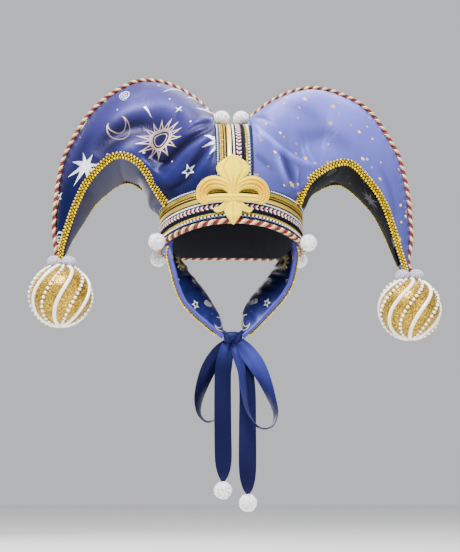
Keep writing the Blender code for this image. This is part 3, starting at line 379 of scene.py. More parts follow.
class Pile:
    """Gathers the points and faces of many small forms into one mesh."""

    def __init__(self) -> None:
        """Starts empty."""
        self.points: list[Array] = []
        self.faces: list[Array] = []
        self.colours: list[Array] = []
        self.places: list[Array] = []
        self.count = 0

    def add(self, points: Array, faces: Sequence[Array], colour: Array | Colour = (1, 1, 1),
            place: Array | None = None) -> None:
        """Adds one form.

        Args:
            points: Its points.
            faces: Arrays of faces, each with one number of corners.
            colour: Its colour, or a colour or a grey for each point.
            place: Where each point lies on the flat cloth, for patterns that follow it.
        """
        points = points.reshape(-1, 3)
        self.points.append(points)
        self.faces.extend(np.asarray(f) + self.count for f in faces)
        self.colours.append(np.broadcast_to(colour, (len(points), 3)))
        self.places.append(np.zeros((len(points), 2)) if place is None else place.reshape(-1, 2))
        self.count += len(points)

    def wrap(self, rings: Array, colour: Array | Colour = (1, 1, 1), place: Array | None = None,
             closed: bool = False, turned: bool = False) -> None:
        """Adds a skin round rings of points.

        Args:
            rings: The points, ring by ring.
            colour: Its colour, or a colour or a grey for each point.
            place: Where each point lies on the flat cloth.
            closed: Whether the last ring joins the first; if not, a face closes each end.
            turned: Whether its faces look the other way.
        """
        count, width = rings.shape[:2]
        i, j = np.arange(count if closed else count - 1)[:, None], np.arange(width)[None, :]
        below, beside = (i + 1) % count, (j + 1) % width
        corners = [i * width + j, i * width + beside, below * width + beside, below * width + j]
        faces = [np.stack(np.broadcast_arrays(*corners), axis=-1).reshape(-1, 4)]
        if not closed:
            ends = np.arange(width)
            faces += [ends[None, ::-1], (ends + (count - 1) * width)[None, :]]
        self.add(rings, [f[:, ::-1] for f in faces] if turned else faces, colour, place)

    def build(self, name: str, sharp: float = 60.0) -> bpy.types.Object:
        """Makes the object.

        Args:
            name: The piece's name.
            sharp: Edges that turn more than this many degrees stay sharp.

        Returns:
            The object, at the origin.
        """
        mesh = bpy.data.meshes.new(name)
        points = np.concatenate(self.points)
        corners = np.concatenate([f.ravel() for f in self.faces])
        sizes = np.concatenate([np.full(len(f), f.shape[1]) for f in self.faces])
        mesh.vertices.add(len(points))
        mesh.vertices.foreach_set("co", points.ravel())
        mesh.loops.add(len(corners))
        mesh.loops.foreach_set("vertex_index", corners)
        mesh.polygons.add(len(sizes))
        mesh.polygons.foreach_set("loop_start", np.concatenate([[0], np.cumsum(sizes)[:-1]]))
        colours = mesh.attributes.new("colour", "FLOAT_COLOR", "POINT")
        rgba = np.concatenate([np.concatenate(self.colours), np.ones((len(points), 1))], axis=1)
        colours.data.foreach_set("color", rgba.ravel())
        flat = mesh.uv_layers.new(name="cloth")
        flat.data.foreach_set("uv", np.concatenate(self.places)[corners].ravel())
        mesh.update(calc_edges=True)
        mesh.shade_smooth()
        mesh.set_sharp_from_angle(angle=radians(sharp))
        obj = bpy.data.objects.new(name, mesh)
        bpy.context.scene.collection.objects.link(obj)
        return obj


def tube(pile: Pile, path: Path, radius: Array | float, sides: int, colour: Array | Colour,
         squash: float = 1.0) -> None:
    """Adds a round or flattened tube along a path, with closed ends.

    Args:
        pile: What it is added to.
        path: The tube's middle.
        radius: Its radius, or one for each point.
        sides: How many sides it has.
        colour: Its colour.
        squash: Its height out of the path, as a share of its width.
    """
    turns = np.arange(sides) * tau / sides
    wide = np.cos(turns)[None, :, None] * path.across()[:, None, :]
    high = np.sin(turns)[None, :, None] * path.out[:, None, :] * squash
    rings = path.points[:, None, :] + (wide + high) * np.reshape(radius, (-1, 1, 1))
    pile.wrap(rings, colour, closed=path.closed)


def twist(pile: Pile, path: Path, radius: float, pitch: float, colours: Sequence[Colour], sides: int = 7,
          step: float = 0.0012, lay: int = 1) -> None:
    """Adds a cord of twisted strands, one for each colour.

    Args:
        pile: What it is added to.
        path: The cord's middle.
        radius: The cord's radius.
        pitch: The length of one whole turn.
        colours: The strands' colours.
        sides: The sides of each strand.
        step: The distance between a strand's sections.
        lay: 1 or -1, which way the strands turn.
    """
    path = path.even(step)
    strands = len(colours)
    inner = radius * sin(pi / strands) / (1 + sin(pi / strands))
    turns = path.length() / pitch
    if path.closed:
        turns = round(turns)
    share = np.arange(len(path.points)) / len(path.points)
    for k, colour in enumerate(colours):
        turn = lay * (share * turns + k / strands) * tau
        arm = np.cos(turn)[:, None] * path.across() + np.sin(turn)[:, None] * path.out
        strand = Path(path.points + arm * (radius - inner), arm, path.closed)
        tube(pile, strand, inner * 1.12, sides, colour)


def taken() -> Form:
    """Takes the primitive that was just added apart.

    Returns:
        Its points, and its faces of three and of four corners. The primitive itself is removed.
    """
    solid = bpy.context.object
    points = np.array([vertex.co for vertex in solid.data.vertices])
    polygons = [tuple(polygon.vertices) for polygon in solid.data.polygons]
    bpy.data.objects.remove(solid)
    faces = [np.array([p for p in polygons if len(p) == n]) for n in (3, 4)]
    return points, [f for f in faces if len(f)]


def ball_form(segments: int, rings: int) -> Form:
    """A ball of radius one, modelled once for copying, with so many faces round it and from pole to pole."""
    bpy.ops.mesh.primitive_uv_sphere_add(segments=segments, ring_count=rings, radius=1.0)
    return taken()


def repeated(faces: Sequence, copies: int, points: int) -> list[Array]:
    """The faces of many copies of a form.

    Args:
        faces: The form's faces, in groups with one number of corners.
        copies: How many copies there are.
        points: How many points each has.

    Returns:
        Arrays of faces.
    """
    starts = np.arange(copies)[:, None, None] * points
    return [(np.asarray(f)[None] + starts).reshape(-1, np.shape(f)[1]) for f in faces]


def beads(pile: Pile, form: Form, path: Path, size: Sequence[float], colours: Array | Colour,
          run: Array | None = None) -> None:
    """Adds a bead at each point of a path.

    Args:
        pile: What they are added to.
        form: The bead's points and faces at radius one.
        path: Their middles.
        size: A bead's half lengths along, across and out of the path.
        colours: Their colour, or one for each.
        run: The way that each points, where it isn't along the path.
    """
    points, faces = form
    run = path.along() if run is None else run
    axes = np.stack([run, unit(np.cross(run, path.out)), path.out], axis=1) * np.reshape(size, (1, 3, 1))
    placed = path.points[:, None, :] + points @ axes
    own = np.repeat(np.broadcast_to(colours, (len(placed), 3)), len(points), axis=0)
    pile.add(placed, repeated(faces, len(placed), len(points)), own)


class Graph:
    """A tree of shader nodes, with short ways to add and join them."""

    def __init__(self, tree: bpy.types.NodeTree) -> None:
        """Takes the tree that nodes are added to."""
        self.tree = tree

    def node(self, kind: str, settings: dict | None = None, **inputs: object) -> bpy.types.Node:
        """Adds a node.

        Args:
            kind: The node's type, without its ShaderNode prefix.
            settings: Its own settings.
            inputs: Sockets, fields or constants for its inputs, with _ for a space.

        Returns:
            The node.
        """
        made = self.tree.nodes.new("ShaderNode" + kind)
        for key, value in (settings or {}).items():
            setattr(made, key, value)
        return self.fill(made, **inputs)

    def fill(self, node: bpy.types.Node, **inputs: object) -> bpy.types.Node:
        """Feeds a node.

        Args:
            node: The node.
            inputs: Sockets, fields or constants for its inputs, with _ for a space.

        Returns:
            The node.
        """
        for key, value in inputs.items():
            self.feed(node.inputs[key.replace("_", " ")], value)
        return node

    def feed(self, socket: bpy.types.NodeSocket, value: object) -> None:
        """Joins a socket to another, or sets it.

        Args:
            socket: The input.
            value: A field, a socket or a constant.
        """
        source = value.socket if isinstance(value, Field) else value
        if isinstance(source, bpy.types.NodeSocket):
            self.tree.links.new(source, socket)
        else:
            socket.default_value = (*source, 1.0) if socket.type == "RGBA" else source

    def field(self, node: bpy.types.Node, output: str | int = 0) -> Field:
        """One of a node's outputs as a field."""
        return Field(self, node.outputs[output])

    def worked(self, kind: str, settings: dict, values: Sequence[object]) -> Field:
        """The outcome of a node that is fed in the order of its inputs.

        Args:
            kind: The node's type, without its ShaderNode prefix.
            settings: Its own settings.
            values: What its inputs are fed.

        Returns:
            Its first output.
        """
        made = self.node(kind, settings)
        for socket, value in zip(made.inputs, values):
            self.feed(socket, value)
        return self.field(made)

    def vector(self, operation: str, *values: object) -> Field:
        """The result of one Vector Math node."""
        return self.worked("VectorMath", {"operation": operation}, values)

    def noise(self, where: object, scale: float, detail: float = 2.0) -> Field:
        """Noise from 0 to 1 with so many bumps a metre."""
        return self.field(self.node("TexNoise", Vector=where, Scale=scale, Detail=detail))

    def mix(self, share: object, first: object, second: object, blend: str = "MIX") -> Field:
        """Mixes two colours.

        Args:
            share: How much of the second there is.
            first: The first colour.
            second: The second colour.
            blend: How they are mixed.

        Returns:
            The colour between them.
        """
        made = self.node("Mix", {"data_type": "RGBA", "blend_type": blend})
        for index, value in ((0, share), (6, first), (7, second)):
            self.feed(made.inputs[index], value)
        return self.field(made, 2)

    def split(self, vector: object) -> list[Field]:
        """A vector's parts."""
        made = self.node("SeparateXYZ", Vector=vector)
        return [Field(self, socket) for socket in made.outputs]


class Field:
    """A value that varies over a surface, whose arithmetic adds Math nodes."""

    def __init__(self, graph: Graph, socket: bpy.types.NodeSocket) -> None:
        """Takes the graph it lives in and the socket it comes from."""
        self.graph, self.socket = graph, socket

    def math(self, operation: str, *others: object, clamp: bool = False) -> Field:
        """The result of one Math node on this field and others."""
        return self.graph.worked("Math", {"operation": operation, "use_clamp": clamp}, (self, *others))

    def __add__(self, other: object) -> Field:
        """The sum."""
        return self.math("ADD", other)

    def __sub__(self, other: object) -> Field:
        """The difference."""
        return self.math("SUBTRACT", other)

    def __mul__(self, other: object) -> Field:
        """The product."""
        return self.math("MULTIPLY", other)

    def __truediv__(self, other: object) -> Field:
        """The quotient."""
        return self.math("DIVIDE", other)

    def __abs__(self) -> Field:
        """The size without its sign."""
        return self.math("ABSOLUTE")

    def clamped(self) -> Field:
        """The same, held between 0 and 1."""
        return self.math("ADD", 0.0, clamp=True)

    def far(self, other: Field) -> Field:
        """The distance from the middle of the point that this and another value place."""
        return (self * self + other * other).math("SQRT")

    def within(self, limit: Field | float, soft: float) -> Field:
        """1 where this is below a limit and 0 above it, over a soft edge."""
        return self.math("MULTIPLY_ADD", -1.0 / soft, 0.5).math("ADD", limit * (1.0 / soft), clamp=True)

    def repeat(self, width: float) -> Field:
        """The place within a repeat of this width, from minus to plus half of it."""
        return self.math("WRAP", width / 2, -width / 2)

    def most(self, other: object) -> Field:
        """The greater of two."""
        return self.math("MAXIMUM", other)


class Weave(Enum):
    """How a cloth is woven: the pitch of its threads, and how deep they are."""

    SATIN = (0.00035, 0.00006)
    PLAIN = (0.0006, 0.00015)
    RIBBON = (0.0009, 0.00015)


class Print(Enum):
    """What is printed on a cloth."""

    NONE = "none"
    SKY = "sky"
    STARS = "stars"


class Surface(Graph):
    """A material's graph, which ends in its shader."""

    def __init__(self, name: str, **inputs: object) -> None:
        """Makes the material and feeds its shader.

        Args:
            name: The material's name.
            inputs: What the shader is fed, with _ for a space.
        """
        self.made = bpy.data.materials.new(name)
        self.made.use_nodes = True
        super().__init__(self.made.node_tree)
        self.shade(**inputs)

    def shade(self, **inputs: object) -> None:
        """Feeds the shader's inputs, named with _ for a space."""
        self.fill(self.tree.nodes["Principled BSDF"], **inputs)

    def place(self) -> Field:
        """The place on the object."""
        return self.field(self.node("TexCoord"), "Object")

    def flat(self) -> Field:
        """The place on the flat cloth."""
        return self.field(self.node("UVMap", {"uv_map": "cloth"}))

    def own(self) -> Field:
        """The colour that the form has of its own at each point."""
        return self.field(self.node("Attribute", {"attribute_name": "colour"}), "Color")

    def fuzz(self, weight: float, roughness: float, tint: Colour) -> None:
        """Gives the shader the soft glow of cloth at its edges."""
        self.shade(Sheen_Weight=weight, Sheen_Roughness=roughness, Sheen_Tint=tint)

    def bump(self, height: Field, distance: float, strength: float = 1.0) -> None:
        """Raises the surface by a height from 0 to 1 over a distance."""
        made = self.node("Bump", Strength=strength, Distance=distance, Height=height)
        self.shade(Normal=self.field(made))


@dataclass(frozen=True)
class Finish:
    """What every finish has: its name, the record's slot that it belongs to, and its roughness."""

    name: str
    slot: str
    roughness: float = 0.5

    def material(self) -> bpy.types.Material:
        """The finish's material, made when it is first asked for.

        Returns:
            The material.
        """
        title = f"{self.name}_finish"
        known = bpy.data.materials.get(title)
        if known:
            return known
        surface = Surface(title, Roughness=self.roughness)
        self.paint(surface)
        return surface.made

    def paint(self, surface: Surface) -> None:
        """Paints the surface; each kind of finish has its own way."""
        raise NotImplementedError


class Spot(NamedTuple):
    """Where a motif of the night sky lies: its ink, its middle across and up the repeat, and its turn."""

    ink: str
    u: float
    v: float
    turn: float = 0.0


class Sky(Graph):
    """A printed night sky of stars, moons and planets, drawn once as a node group in flat metres.

    Its motifs are laid in two inks, the Pale and the Warm layer. Turns are in degrees.
    """

    REPEAT_WIDE, REPEAT_HIGH = 0.132, 0.150
    LINE = 0.00055
    SOFT = 0.00022
    WAVER, WAVER_SCALE = 0.0022, 90.0
    DOTS = ((0.030, 0.008, 0.0009), (0.082, -0.012, 0.0008), (0.118, -0.012, 0.0010), (0.050, 0.014, 0.0007),
            (0.012, -0.028, 0.0008), (0.128, 0.070, 0.0009), (0.052, -0.064, 0.0009), (0.088, 0.038, 0.0006),
            (0.008, 0.044, 0.0007))

    def __init__(self) -> None:
        """Starts the group's tree and its two coverages."""
        super().__init__(bpy.data.node_groups.new("night_sky", "ShaderNodeTree"))
        self.tree.interface.new_socket("Vector", in_out="INPUT", socket_type="NodeSocketVector")
        for name in ("Pale", "Warm"):
            self.tree.interface.new_socket(name, in_out="OUTPUT", socket_type="NodeSocketFloat")
        start = self.tree.nodes.new("NodeGroupInput").outputs[0]
        waver = self.node("TexNoise", Vector=start, Scale=self.WAVER_SCALE, Detail=1.0)
        drift = self.vector("MULTIPLY_ADD", waver.outputs["Color"], (self.WAVER, self.WAVER, 0.0), start)
        self.u, self.v, _ = self.split(drift)
        self.layers: dict[str, Field] = {}

    def local(self, spot: Spot) -> tuple[Field, Field]:
        """Finds the place within a motif.

        Args:
            spot: Where the motif lies.

        Returns:
            The two parts of the place, in metres from its middle.
        """
        row = ((self.v - spot.v).math("DIVIDE", self.REPEAT_HIGH) + 0.5).math("FLOOR")
        x = (self.u - spot.u + row * (self.REPEAT_WIDE / 2)).repeat(self.REPEAT_WIDE)
        y = (self.v - spot.v) - row * self.REPEAT_HIGH
        if not spot.turn:
            return x, y
        c, s = cos(radians(spot.turn)), sin(radians(spot.turn))
        return x * c + y * s, y * c - x * s

    def lay(self, layer: str, cover: Field) -> None:
        """Adds a coverage to one of the two inks."""
        held = self.layers.get(layer)
        self.layers[layer] = held.most(cover) if held else cover

    def line(self, distance: Field, width: float = 1.0) -> Field:
        """A drawn line where a distance is 0."""
        return abs(distance).within(self.LINE * width, self.SOFT)

    def draw(self, layer: str, edge: Field, filled: bool, width: float = 1.0) -> None:
        """Fills a motif, whose edge is below 0 inside it, or draws its outline."""
        self.lay(layer, edge.within(0.0, self.SOFT) if filled else self.line(edge, width))

    def sector(self, x: Field, y: Field, count: int, shift: float = 0.0) -> Field:
        """The angle from the nearest of so many spokes."""
        return (y.math("ARCTAN2", x) + shift).repeat(tau / count)

    def star(self, spot: Spot, size: float, points: int = 5, slim: float = 0.45,
             filled: bool = False) -> None:
        """A star.

        Args:
            spot: Where it lies, and which way its first point shows.
            size: How far its points reach.
            points: How many there are.
            slim: How deep it is cut between them.
            filled: Whether it is filled or drawn as a line.
        """
        x, y = self.local(spot)
        spoke = abs(self.sector(x, y, points))
        far = x.far(y)
        along, off = far * spoke.math("COSINE"), far * spoke.math("SINE")
        rise_x, rise_y = size - size * slim * cos(pi / points), size * slim * sin(pi / points)
        scale = (rise_x**2 + rise_y**2) ** 0.5
        self.draw(spot.ink, (along - size) * (rise_y / scale) + off * (rise_x / scale), filled)

    def ring(self, spot: Spot, radius: float, width: float = 1.0, flat: float = 1.0) -> None:
        """A ring, or an oval one where flat is less than 1."""
        x, y = self.local(spot)
        self.lay(spot.ink, self.line(x.far(y / flat) - radius, width))

    def disc(self, spot: Spot, radius: float) -> None:
        """A filled disc."""
        x, y = self.local(spot)
        self.lay(spot.ink, x.far(y).within(radius, self.SOFT))

    def crescent(self, spot: Spot, radius: float, filled: bool) -> None:
        """A crescent moon.

        Args:
            spot: Where it lies, and which way its cut shows.
            radius: The radius of its outer edge.
            filled: Whether it is filled or drawn as a line.
        """
        x, y = self.local(spot)
        cut = (x - radius * 0.42).far(y) - radius * 0.78
        self.draw(spot.ink, (x.far(y) - radius).most(cut * -1.0), filled)

    def rays(self, spot: Spot, start: float, end: float, count: int, width: float) -> None:
        """Tapered rays round a middle, drawn as lines.

        Args:
            spot: Where their middle lies.
            start: How far from it they start.
            end: How far from it they end.
            count: How many there are.
            width: Half their width where they start.
        """
        x, y = self.local(spot)
        far, spoke = x.far(y), abs(self.sector(x, y, count, 0.3))
        taper = (far * -1.0 + end) * (width / (end - start))
        edge = (far * spoke.math("SINE") - taper).most(far * -1.0 + start)
        self.draw(spot.ink, edge, False, 0.8)

    def spiral(self, spot: Spot, pitch: float, reach: float) -> None:
        """A spiral line.

        Args:
            spot: Where its middle lies.
            pitch: The distance between its turns.
            reach: Its radius.
        """
        x, y = self.local(spot)
        far = x.far(y)
        wound = (far - y.math("ARCTAN2", x) * (pitch / tau)).repeat(pitch)
        self.lay(spot.ink, self.line(wound) * far.within(reach, self.SOFT))

    def stroke(self, spot: Spot, length: float, width: float = 1.0) -> None:
        """A straight stroke with a tapered tail.

        Args:
            spot: Where its middle lies, and which way it runs.
            length: Its length.
            width: Its width, as a share of a line's.
        """
        x, y = self.local(spot)
        taper = (x / length + 0.5) * self.LINE * width * 2
        self.draw(spot.ink, (abs(y) - taper).most(abs(x) - length / 2), True)

    def group(self) -> bpy.types.NodeTree:
        """Draws every motif and joins them up.

        Returns:
            The finished group.
        """
        self.rays(Spot("Warm", 0.000, 0.000), 0.0105, 0.0195, 14, 0.0019)
        self.ring(Spot("Warm", 0.000, 0.000), 0.0090)
        self.ring(Spot("Warm", 0.000, 0.000), 0.0062, 0.7)
        self.star(Spot("Pale", 0.058, -0.024, 12.0), 0.0175, 8, 0.36, True)
        self.crescent(Spot("Pale", 0.040, 0.042, 205.0), 0.0150, True)
        self.crescent(Spot("Warm", 0.092, 0.016, 118.0), 0.0125, False)
        self.spiral(Spot("Pale", 0.098, 0.058), 0.0030, 0.0080)
        self.star(Spot("Pale", 0.070, 0.066, 80.0), 0.0062, slim=0.42)
        self.star(Spot("Pale", 0.028, -0.046, 100.0), 0.0056, slim=0.42)
        self.star(Spot("Pale", 0.018, 0.028, 45.0), 0.0048, 4, 0.2, True)
        self.star(Spot("Warm", 0.074, -0.058), 0.0060, 4, 0.16, True)
        self.ring(Spot("Pale", 0.104, -0.040), 0.0082)
        self.ring(Spot("Warm", 0.104, -0.040, 24.0), 0.0150, 0.9, 0.28)
        self.stroke(Spot("Pale", 0.010, 0.062, 32.0), 0.0240, 1.6)
        self.star(Spot("Pale", 0.0205, 0.0690, 20.0), 0.0044, slim=0.4, filled=True)
        self.stroke(Spot("Pale", 0.120, 0.032, 118.0), 0.0150)
        for u, v, radius in self.DOTS:
            self.disc(Spot("Pale", u, v), radius)
        end = self.tree.nodes.new("NodeGroupOutput")
        self.fill(end, **self.layers)
        return self.tree


@dataclass(frozen=True)
class Cloth(Finish):
    """A woven cloth, which may be printed, and may run from one colour at its hem to another at its crest,
    which on most cloths is painted light from above; it may also take painted light and shade from its colour
    attribute.
    """

    low: Colour = (0.1, 0.1, 0.1)
    high: Colour = (0.2, 0.2, 0.2)
    weave: Weave = Weave.SATIN
    pattern: Print = Print.NONE
    pale: Colour = (0.62, 0.62, 0.68)
    warm: Colour = (0.66, 0.46, 0.34)
    foot: float = -0.09
    crest: float = 0.06
    sheen: float = 0.1
    scale: float = 1.0
    shift: tuple[float, float] = (0.0, 0.0)
    gloss: float = 0.5
    takes_painted_light: bool = False

    def paint(self, surface: Surface) -> None:
        """Paints the cloth's colour with its painted light and shade, its print and its weave.

        Args:
            surface: The surface.
        """
        place, flat = surface.place(), surface.flat()
        # The colour runs from low at the foot to high at the crest. On most cloths the crest is lighter,
        # painted light as if lit from above. The printed satin's turn towards violet there is its own colour,
        # and the flap lining only gets darker towards the top.
        rise = ((surface.split(place)[2] - self.foot) / (self.crest - self.foot)).clamped()
        mottle = surface.noise(place, 22.0, 3.0)
        colour = surface.mix((rise + (mottle - 0.5) * 0.5).clamped(), self.low, self.high)
        if self.pattern is Print.SKY:
            colour = self.night(surface, place, flat, colour)
        if self.pattern is Print.STARS:
            colour = self.scatter(surface, flat, colour)
        # Multiplies in the painted light and shade that the piece carries in its colour attribute.
        if self.takes_painted_light:
            colour = surface.mix(1.0, colour, surface.own(), "MULTIPLY")
        surface.fuzz(self.sheen, 0.35, self.high)
        tint = [0.25 + 0.75 * part / max(self.high) for part in self.high]
        surface.shade(Base_Color=colour, Specular_Tint=tint, Specular_IOR_Level=self.gloss)
        self.threads(surface, flat, place)

    def night(self, surface: Surface, place: Field, flat: Field, colour: Field) -> Field:
        """Prints the night sky, a little worn.

        Args:
            surface: The surface.
            place: The place on the object.
            flat: The place on the flat cloth.
            colour: The cloth's colour.

        Returns:
            The colour with the sky on it.
        """
        moved = surface.vector("MULTIPLY_ADD", flat, (self.scale, self.scale, 0.0), (*self.shift, 0.0))
        drawn = bpy.data.node_groups.get("night_sky") or Sky().group()
        motif = surface.node("Group", {"node_tree": drawn}, Vector=moved)
        worn = surface.noise(place, 260.0, 3.0).math("MULTIPLY_ADD", 1.6, 0.15, clamp=True)
        for layer, ink in (("Warm", self.warm), ("Pale", self.pale)):
            colour = surface.mix(surface.field(motif, layer) * worn, colour, ink)
        return colour

    def scatter(self, surface: Surface, flat: Field, colour: Field) -> Field:
        """Scatters small gold stars and dots.

        Args:
            surface: The surface.
            flat: The place on the flat cloth.
            colour: The cloth's colour.

        Returns:
            The colour with the stars on it.
        """
        for scale, reach, star in ((38.0, 0.0042, True), (55.0, 0.0019, False)):
            cells = surface.node("TexVoronoi", {"voronoi_dimensions": "2D"}, Vector=flat, Scale=scale,
                                 Randomness=0.85)
            x, y, _ = surface.split(surface.vector("SUBTRACT", flat, cells.outputs["Position"]))
            pick = surface.split(cells.outputs["Color"])
            limit = pick[0] * reach * 0.6 + reach * 0.4
            if star:
                spoke = abs((y.math("ARCTAN2", x) + pick[1] * tau).repeat(tau / 5))
                limit = limit * (spoke * -0.9 + 1.0)
            cover = x.far(y).within(limit, 0.0004) * pick[2].within(0.42, 0.02)
            ink = surface.mix(pick[1], (0.36, 0.18, 0.02), (0.90, 0.62, 0.06))
            colour = surface.mix(cover, colour, ink)
        return colour

    def threads(self, surface: Surface, flat: Field, place: Field) -> None:
        """Adds the weave and the cloth's slackness as a fine bump.

        Args:
            surface: The surface.
            flat: The place on the flat cloth.
            place: The place on the object.
        """
        pitch, depth = self.weave.value
        u, v, _ = surface.split(flat)
        height = (v * (tau / pitch)).math("SINE") * 0.5 + surface.noise(place, 900.0) * 0.6
        if self.weave is Weave.PLAIN:
            height = height + (u * (tau / pitch)).math("SINE") * 0.5
        slack = surface.noise(place, 55.0, 3.0) * 6.0
        surface.bump(height * 0.3 + slack, depth)


@dataclass(frozen=True)
class Yarn(Finish):
    """Twisted or cut yarn, coloured strand by strand."""

    soft: float = 0.5
    glow: float = 0.0
    fibre: float = 1400.0
    contrast: float = 0.32
    gloss: float = 0.3

    def paint(self, surface: Surface) -> None:
        """Paints the strands and their fibres.

        Args:
            surface: The surface.
        """
        grain = surface.noise(surface.place(), self.fibre, 3.0)
        fibres = surface.mix(grain, (1.0 - self.contrast,) * 3, (1.0 + self.contrast * 0.7,) * 3)
        colour = surface.mix(1.0, surface.own(), fibres, "MULTIPLY")
        surface.shade(Base_Color=colour, Specular_IOR_Level=self.gloss)
        surface.fuzz(self.soft, 0.5, (1.0, 1.0, 1.0))
        if self.glow:
            surface.shade(Subsurface_Weight=self.glow, Subsurface_Radius=(0.004,) * 3, Subsurface_Scale=1.0)
        surface.bump(grain, 0.0003)


@dataclass(frozen=True)
class MetalThread(Finish):
    """Thread wrapped in metal foil, which glints and dulls along its length."""

    metallic: float = 0.85

    def paint(self, surface: Surface) -> None:
        """Paints the foil.

        Args:
            surface: The surface.
        """
        place = surface.place()
        glint, dull = surface.noise(place, 1800.0, 2.0), surface.noise(place, 60.0, 3.0)
        sheen = surface.mix(glint * 0.6 + dull * 0.4, (0.55, 0.5, 0.42), (1.35, 1.35, 1.3))
        colour = surface.mix(1.0, surface.own(), sheen, "MULTIPLY")
        dullness = glint * 0.3 + (self.roughness - 0.1)
        surface.shade(Base_Color=colour, Metallic=self.metallic, Roughness=dullness)
        surface.bump(glint, 0.00025)


PRINTED_SATIN = Cloth(
    "printed_satin", "printed_satin", 0.36, low=(0.0018, 0.0034, 0.026), high=(0.028, 0.025, 0.110),
    pattern=Print.SKY, sheen=0.0, gloss=0.20, shift=(0.07, 0.02), scale=0.80, takes_painted_light=True)
LAVENDER_SATIN = Cloth(
    "lavender_satin", "lavender_satin", 0.36, low=(0.045, 0.050, 0.205), high=(0.098, 0.098, 0.41),
    pattern=Print.STARS, sheen=0.03, gloss=0.35, takes_painted_light=True)
# The right horn's lavender satin in a darker, duller copy: painted shade on the flaps.
FLAP_SATIN = Cloth(
    "flap_satin", "lavender_satin", 0.36, low=(0.036, 0.038, 0.185), high=(0.050, 0.050, 0.235),
    pattern=Print.STARS, sheen=0.0, gloss=0.2, foot=-0.30, crest=-0.10)
GREY_SATIN = Cloth(
    "grey_lavender_satin", "grey_lavender_satin", 0.45, low=(0.014, 0.014, 0.038), high=(0.036, 0.034, 0.088),
    sheen=0.0, gloss=0.2)
NAVY_PRINT = Cloth(
    "navy_print", "navy_print", 0.36, low=(0.0060, 0.0090, 0.055), high=(0.0012, 0.0018, 0.012),
    pattern=Print.SKY, pale=(0.42, 0.42, 0.40), warm=(0.36, 0.30, 0.12), foot=-0.26, crest=-0.17,
    sheen=0.05, scale=1.25, shift=(0.02, 0.03))
# The flap lining's navy print, painted almost black on the right horn's gusset: painted shade under the horn.
SHADED_NAVY_PRINT = Cloth(
    "shaded_navy_print", "navy_print", 0.40, low=(0.0003, 0.0003, 0.0012), high=(0.0006, 0.0006, 0.0022),
    pattern=Print.SKY, pale=(0.07, 0.07, 0.075), warm=(0.08, 0.055, 0.02), sheen=0.0, gloss=0.015)
BLACK_LINING = Cloth(
    "black_lining", "black_lining", 0.75, low=(0.003, 0.003, 0.0045), high=(0.006, 0.006, 0.008),
    weave=Weave.PLAIN, sheen=0.1)
NAVY_RIBBON = Cloth(
    "navy_ribbon", "navy_ribbon", 0.34, low=(0.0050, 0.0052, 0.024), high=(0.0066, 0.0076, 0.040),
    weave=Weave.RIBBON, foot=-0.45, crest=-0.26, sheen=0.0, gloss=0.09, takes_painted_light=True)
TWISTED_CORD = Yarn("twisted_cord", "twisted_cord", 0.55, soft=0.1, gloss=0.25)
GOLD_BRAID = MetalThread("gold_braid", "gold_braid", 0.42)
RED, DARK_RED = (0.19, 0.003, 0.002), (0.07, 0.0015, 0.0015)
CREAM, PALE_CREAM = (0.36, 0.23, 0.085), (0.76, 0.60, 0.33)
ROPE_PITCH, ROPE_STRANDS = 0.0127, (RED, DARK_RED, CREAM, PALE_CREAM)
BRIGHT_GOLD, GOLD, BRAID_SHADE = (0.92, 0.68, 0.004), (0.40, 0.28, 0.001), (0.030, 0.019, 0.0002)
SCALLOP_PITCH, SCALLOP, CHAIN_LINK = 0.0042, (0.36, 0.170, 0.0012), (0.30, 0.115, 0.0012)
GLINT_SEED = 3
FORWARD = (0.0, -1.0, 0.0)


def dress(piece: bpy.types.Object, finish: Finish, *nodes: str) -> bpy.types.Object:
    """Gives a piece its finish and its place in the hat.

    Args:
        piece: The piece.
        finish: Its finish.
        nodes: The solids it stands for.

    Returns:
        The piece.
    """
    piece.data.materials.clear()
    piece.data.materials.append(finish.material())
    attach(piece, "root")
    if nodes:
        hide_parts(*nodes)
    LOG.info("%s: %d faces", piece.name, len(piece.data.polygons))
    return piece


def gimp(path: Path, width: Array, back: Colour) -> Pile:
    """Lays a gold gimp braid along a path: scallops along both edges, a chain between, and thread.

    Args:
        path: The braid's middle, with the way out of its face.
        width: Its whole width at each point.
        back: The colour of the tape behind it; near black on the horns, as painted shade between the loops.

    Returns:
        The braid.
    """
    rng = np.random.default_rng(GLINT_SEED)
    where, pile, knob = path.distance(), Pile(), ball_form(8, 5)
    fine, scallop = path.even(SCALLOP_PITCH / 8), path.even(SCALLOP_PITCH)
    wide, whole = (np.interp(np.linspace(0, where[-1], len(line.points)), where, width)
                   for line in (fine, scallop))
    for aside, high, shape in ((-0.36, 0.0006, SCALLOP), (0.36, 0.0006, SCALLOP), (0.0, 0.0008, CHAIN_LINK)):
        row = scallop.shifted(whole * aside, high)
        if not aside:
            row.points = row.points + row.along() * SCALLOP_PITCH / 2
        glint = rng.uniform(0.0, 1.0, (len(row.points), 1)) ** 1.5
        colours = np.array(BRIGHT_GOLD) * (1 - glint) + np.array(GOLD) * glint
        beads(pile, knob, row, (shape[0] * SCALLOP_PITCH, shape[1] * whole.mean(), shape[2]), colours)
    turn = fine.distance() / SCALLOP_PITCH * tau
    for side in (-1, 1):
        swing = side * wide * (0.19 + 0.10 * np.cos(turn))
        tube(pile, fine.shifted(swing, 0.0008), wide * 0.045, 5, GOLD)
    # The tape behind the loops, which on the horns is painted shade.
    tube(pile, scallop, whole * 0.40, 8, back, squash=0.10)
    return pile


